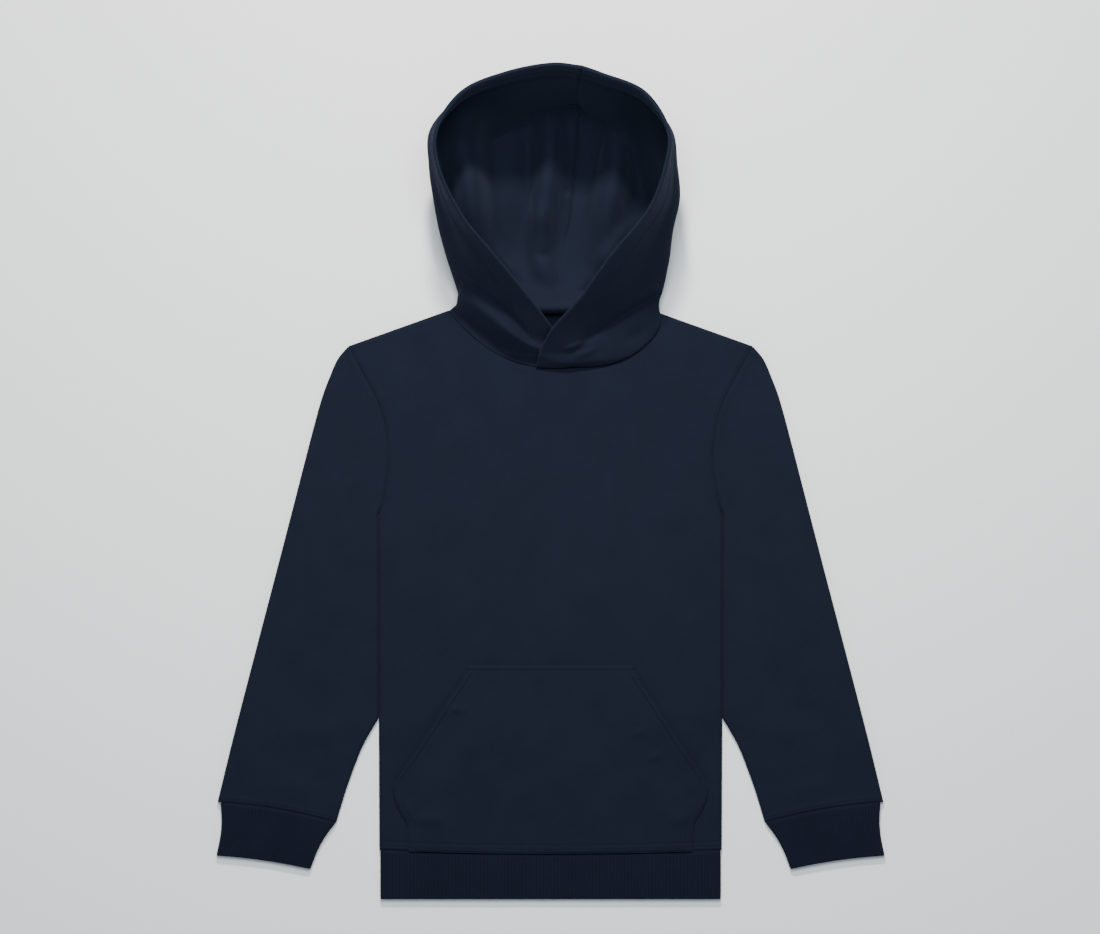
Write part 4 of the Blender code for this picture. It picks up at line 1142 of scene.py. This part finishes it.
def hood_wall(coordinates, y, side):
    """How far in from the hood's form the outer and the inner face of its wall lie."""
    from_seam, from_foot = coordinates[..., 0], coordinates[..., 1]
    from_rim, from_crown = from_seam[:, -1:] - from_seam, from_foot[-1:] - from_foot
    wall = WALL + (RIM_WALL - WALL) * smooth(1 - from_rim / RIM_WALL_REACH)
    rounded = RIM_WALL / 2 * (1 - arc(from_rim / (RIM_WALL / 2)))
    from_halves = np.minimum(from_seam, from_crown)
    least, start, length = SEAM_FADE
    showing = (least + (1 - least) * smooth((y - start) / length)) * smooth(from_rim / SEAM_OFF_RIM)
    groove = ridge(from_halves, HALVES_GROOVE) * showing + ridge(from_foot, FOOT_GROOVE)
    press = pressed(from_rim, RIM_LINES, RIM_PRESS) + pressed(from_foot, NECK_LINES)
    in_outer = rounded + groove + press
    in_inner = wall - in_outer + showing * ridge(from_halves, (ALLOWANCE[side], *ALLOWANCE_PLACE))
    return np.minimum(in_outer, wall / 2), np.maximum(in_inner, wall / 2)


def blended(first, second, share):
    """Unit normals between two fields of them."""
    return unit(first * (1 - share) + second * share)


def on_skin(skin, normal, away, line):
    """Points and normals of the line across a skin's rows where away has come down to a value."""
    inside = away > line
    last = np.argmin(inside, axis=1) - 1
    row = np.arange(len(skin))
    near, far = away[row, last], away[row, last + 1]
    share = ((near - line) / (near - far))[:, None]
    return [(1 - share) * table[row, last] + share * table[row, last + 1] for table in (skin, normal)]


def make_hood(name, side, lines):
    rows, finer = hood_rows(float(len(lines))), hood_columns()
    base = hood_surface(side, lines, rows, finer)
    skin = with_folds(base, rows, finer, side)
    near_foot = np.clip(1 - rows / 0.5, 0, 1)[:, None, None]
    normal = blended(normals_inwards(base, side), foot_normals(base[0], side)[None], near_foot)
    normal = blended(normals_inwards(skin, side), normal, near_foot)
    coordinates = cloth_coordinates(skin)
    faces = [skin + normal * depth[..., None] for depth in hood_wall(coordinates, base[..., 1], side)]
    for face, lean in zip(faces, (SEAM_LEAN, -SEAM_LEAN)):
        face[..., 2] = np.maximum(face[..., 2], 0.0)
        face[:, 0, 0] = base[:, 0, 0] + lean
        face[-1, :, 0] = base[-1, :, 0] + lean
    # Its inner faces take the lighter inside navy, partly painted fill light.
    piece = sheet_shell(name + "_cloth", *faces, coordinates, FLEECE_INSIDE_PAINTED_FILL)
    as_cloth(piece, name)
    from_rim = coordinates[:, -1:, 0] - coordinates[..., 0]
    make_stitches("stitches_" + name, [on_skin(face, way * normal, from_rim, line) for line in RIM_LINES
                                       for face, way in zip(faces, (-1, 1))])


# ---- sewing thread

def beside(path, away):
    """A path of x, y moved to its left."""
    step = unit(np.gradient(np.asarray(path, float), axis=0))
    return path + away * stacked(-step[:, 1], step[:, 0])


def seated(path, pieces, underside=False):
    """Points and normals where a path of x, y lies on top of pieces, or under them."""
    depsgraph = bpy.context.evaluated_depsgraph_get()
    trees = [BVHTree.FromObject(piece, depsgraph) for piece in pieces]
    start, way = (-0.1, Vector((0, 0, 1))) if underside else (0.3, Vector((0, 0, -1)))
    run = walked(path)
    steps = np.arange(0.0, run[-1], STITCH / 3)
    x, y = (np.interp(steps, run, axis) for axis in np.transpose(path))
    found = []
    for place in zip(x * MM, y * MM):
        hits = [tree.ray_cast(Vector((*place, start)), way) for tree in trees]
        hits = [hit for hit in hits if hit[0] is not None]
        if hits:
            point, normal, _, _ = min(hits, key=lambda hit: hit[3])
            found.append((*(point / MM), *normal))
    found = np.array(found)
    return found[:, :3], found[:, 3:]


def make_stitches(name, lines):
    """Short stitches along lines of points and normals, each dipping into the cloth at its ends."""
    around = 2 * math.pi * np.arange(THREAD_SIDES) / THREAD_SIDES
    out = STITCH_HEIGHTS[:, None] + THREAD_RADII[:, None] * np.sin(around)
    across = THREAD_RADII[:, None] * np.cos(around)
    rings = []
    for points, normals in lines:
        run = walked(points)
        first = np.arange(int(run[-1] / STITCH)) * STITCH
        places = first[:, None] + STITCH_LENGTH * STITCH_SHARES
        centre, normal = (np.stack([np.interp(places, run, axis) for axis in table.T], axis=-1)
                          for table in (points, normals))
        normal = unit(normal)
        side = unit(np.cross(normal, np.gradient(centre, axis=1)))
        centre, normal, side = (table[:, :, None] for table in (centre, normal, side))
        rings.append(centre + normal * out[..., None] + side * across[..., None])
    rings = np.concatenate(rings)
    rings[..., 2] = np.maximum(rings[..., 2], 0.0)
    number = np.arange(rings[..., 0].size).reshape(rings.shape[:3])
    turned = np.roll(number, -1, axis=2)
    walls = stacked(number[:, :-1], turned[:, :-1], turned[:, 1:], number[:, 1:])
    faces = np.concatenate((walls.reshape(-1, 4), number[:, 0, ::-1], number[:, -1]))
    cloth = stacked(np.arange(THREAD_SIDES) * THREAD_PITCH, (STITCH_SHARES * STITCH_LENGTH)[:, None])
    cloth = np.tile(cloth.reshape(-1, 2), (len(rings), 1))
    piece = smooth_piece(quad_mesh(name, rings.reshape(-1, 3), faces, cloth), [THREAD])
    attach(piece, "root")


def pocket_lines():
    """Paths of the pocket's stitches: one line all down its sides, a second along its openings."""
    y_low, y_high, tops = POCKET_ROWS[0][0], POCKET_ROWS[-1][0], POCKET_ROWS[-1][1]
    y = np.linspace(y_low + 1, y_high - 2, 120)
    half = looked_up(POCKET_ROWS, y)[:, 0]
    opening = y > POCKET_OPENING[0]
    sides = zip((y, y[opening]), (half, half[opening]), POCKET_SLANT_LINES)
    paths = [stacked(side * (x - line / POCKET_SLANT), place)
             for place, x, line in sides for side in (-1, 1)]
    across = np.array([-1.0, 1.0]) * (tops - POCKET_TOP_LINES[0])
    return paths + [stacked(across, np.full(2, y_high - line)) for line in POCKET_TOP_LINES]


def sew_body(front, back, pocket):
    """Twin lines over the hem, one line along each armhole and the neck, and the pocket's lines."""
    across = np.linspace(-BODY_HALF_AT_HEM + 2, BODY_HALF_AT_HEM - 2, 80)
    hem = [stacked(across, hem_seam_y(across) + line) for line in HEM_LINES]
    arms = [beside(ARMHOLE_ROUTE.line[::4], line) * [way, 1] for line in ARMHOLE_LINES for way in (1, -1)]
    front_neck, back_neck = ([beside(neck_line(neck_y), -line)[2:-2] for line in NECK_LINES]
                             for neck_y in (front_neck_y, back_neck_y))
    over = [seated(path, (front, pocket)) for path in hem + pocket_lines()]
    over += [seated(path, (front,)) for path in arms + front_neck]
    make_stitches("stitches_front", over)
    make_stitches("stitches_back", [seated(path, (back,), True) for path in hem + arms + back_neck])


def sew_cuff(name, sleeve, direction):
    seam = cuff_seam(np.linspace(0.03, 0.97, 40))
    paths = [beside(seam, -line) * [direction, 1] for line in CUFF_LINES]
    make_stitches(name, [seated(path, (sleeve,), below) for path in paths for below in (False, True)])


# ---- stage

FLOOR_ENDS = (-4.0, 4.0)  # in metres, like all of the stage
FLOOR_Z = -0.0004


def make_floor():
    mesh = bpy.data.meshes.new("floor")
    mesh.from_pydata([(x, y, FLOOR_Z) for y in FLOOR_ENDS for x in FLOOR_ENDS], (), [(0, 1, 3, 2)])
    material = bpy.data.materials.new("pale_floor")
    material.use_nodes = True
    shader = material.node_tree.nodes["Principled BSDF"]
    set_inputs(shader, {"Base Color": (0.93, 0.93, 0.93, 1.0), "Roughness": 0.9,
                        "Specular IOR Level": 0.1})
    mesh.materials.append(material)
    placed("floor", mesh)


def add_area_light(name, place, target, size, power, colour):
    light = bpy.data.lights.new(name, "AREA")
    light.shape = "DISK"
    light.size = size
    light.energy = power
    light.color = colour
    lamp = placed(name, light)
    lamp.location = place
    lamp.rotation_euler = (Vector(target) - Vector(place)).to_track_quat("-Z", "Y").to_euler()


def add_world(colour, strength):
    world = bpy.data.worlds.new("studio")
    world.use_nodes = True
    set_inputs(world.node_tree.nodes["Background"], {"Color": (*colour, 1.0), "Strength": strength})
    bpy.context.scene.world = world


def add_camera():
    """Straight above the garment, as the photograph is taken."""
    data = bpy.data.cameras.new("camera")
    data.lens = 100.0
    data.sensor_width = 36.0
    camera = placed("camera", data)
    camera.location = (-0.0004, 0.0139, 2.292)
    bpy.context.scene.camera = camera


# ---- garment

make_floor()
back_panel = make_body("back", back_neck_y, -1)
front_panel = make_body("front", front_neck_y, +1)
sew_body(front_panel, back_panel, make_pocket())
for hand, direction in (("left", +1), ("right", -1)):
    sew_cuff("stitches_cuff_" + hand, make_sleeve("sleeve_" + hand, direction), direction)
    make_band("cuff_" + hand, cuff_place(direction), cuff_seam(0.0)[1] - CUFF_OUTER_END[1], CUFF_WIDTH)
make_band("hem_band", hem_place, HEM_SEAM_Y - HEM_END_Y, 2 * HEM_HALF_WIDTH)
make_hood("hood_right", -1, HOOD_RIGHT_LINES)
make_hood("hood_left", +1, HOOD_LEFT_LINES)

add_camera()
add_area_light("key", (-0.04, 0.88, 0.94), (0.0, 0.1, 0.0), 0.12, 17.5, (1.0, 0.96, 0.90))
add_area_light("overhead", (0.0, 0.40, 1.4), (0.0, 0.05, 0.0), 0.6, 18.0, (0.90, 0.96, 1.0))
add_area_light("low_fill", (0.0, -3.0, 0.8), (0.0, 0.3, 0.06), 1.6, 22.0, (0.62, 0.80, 1.0))
add_world((0.85, 0.93, 1.0), 0.34)
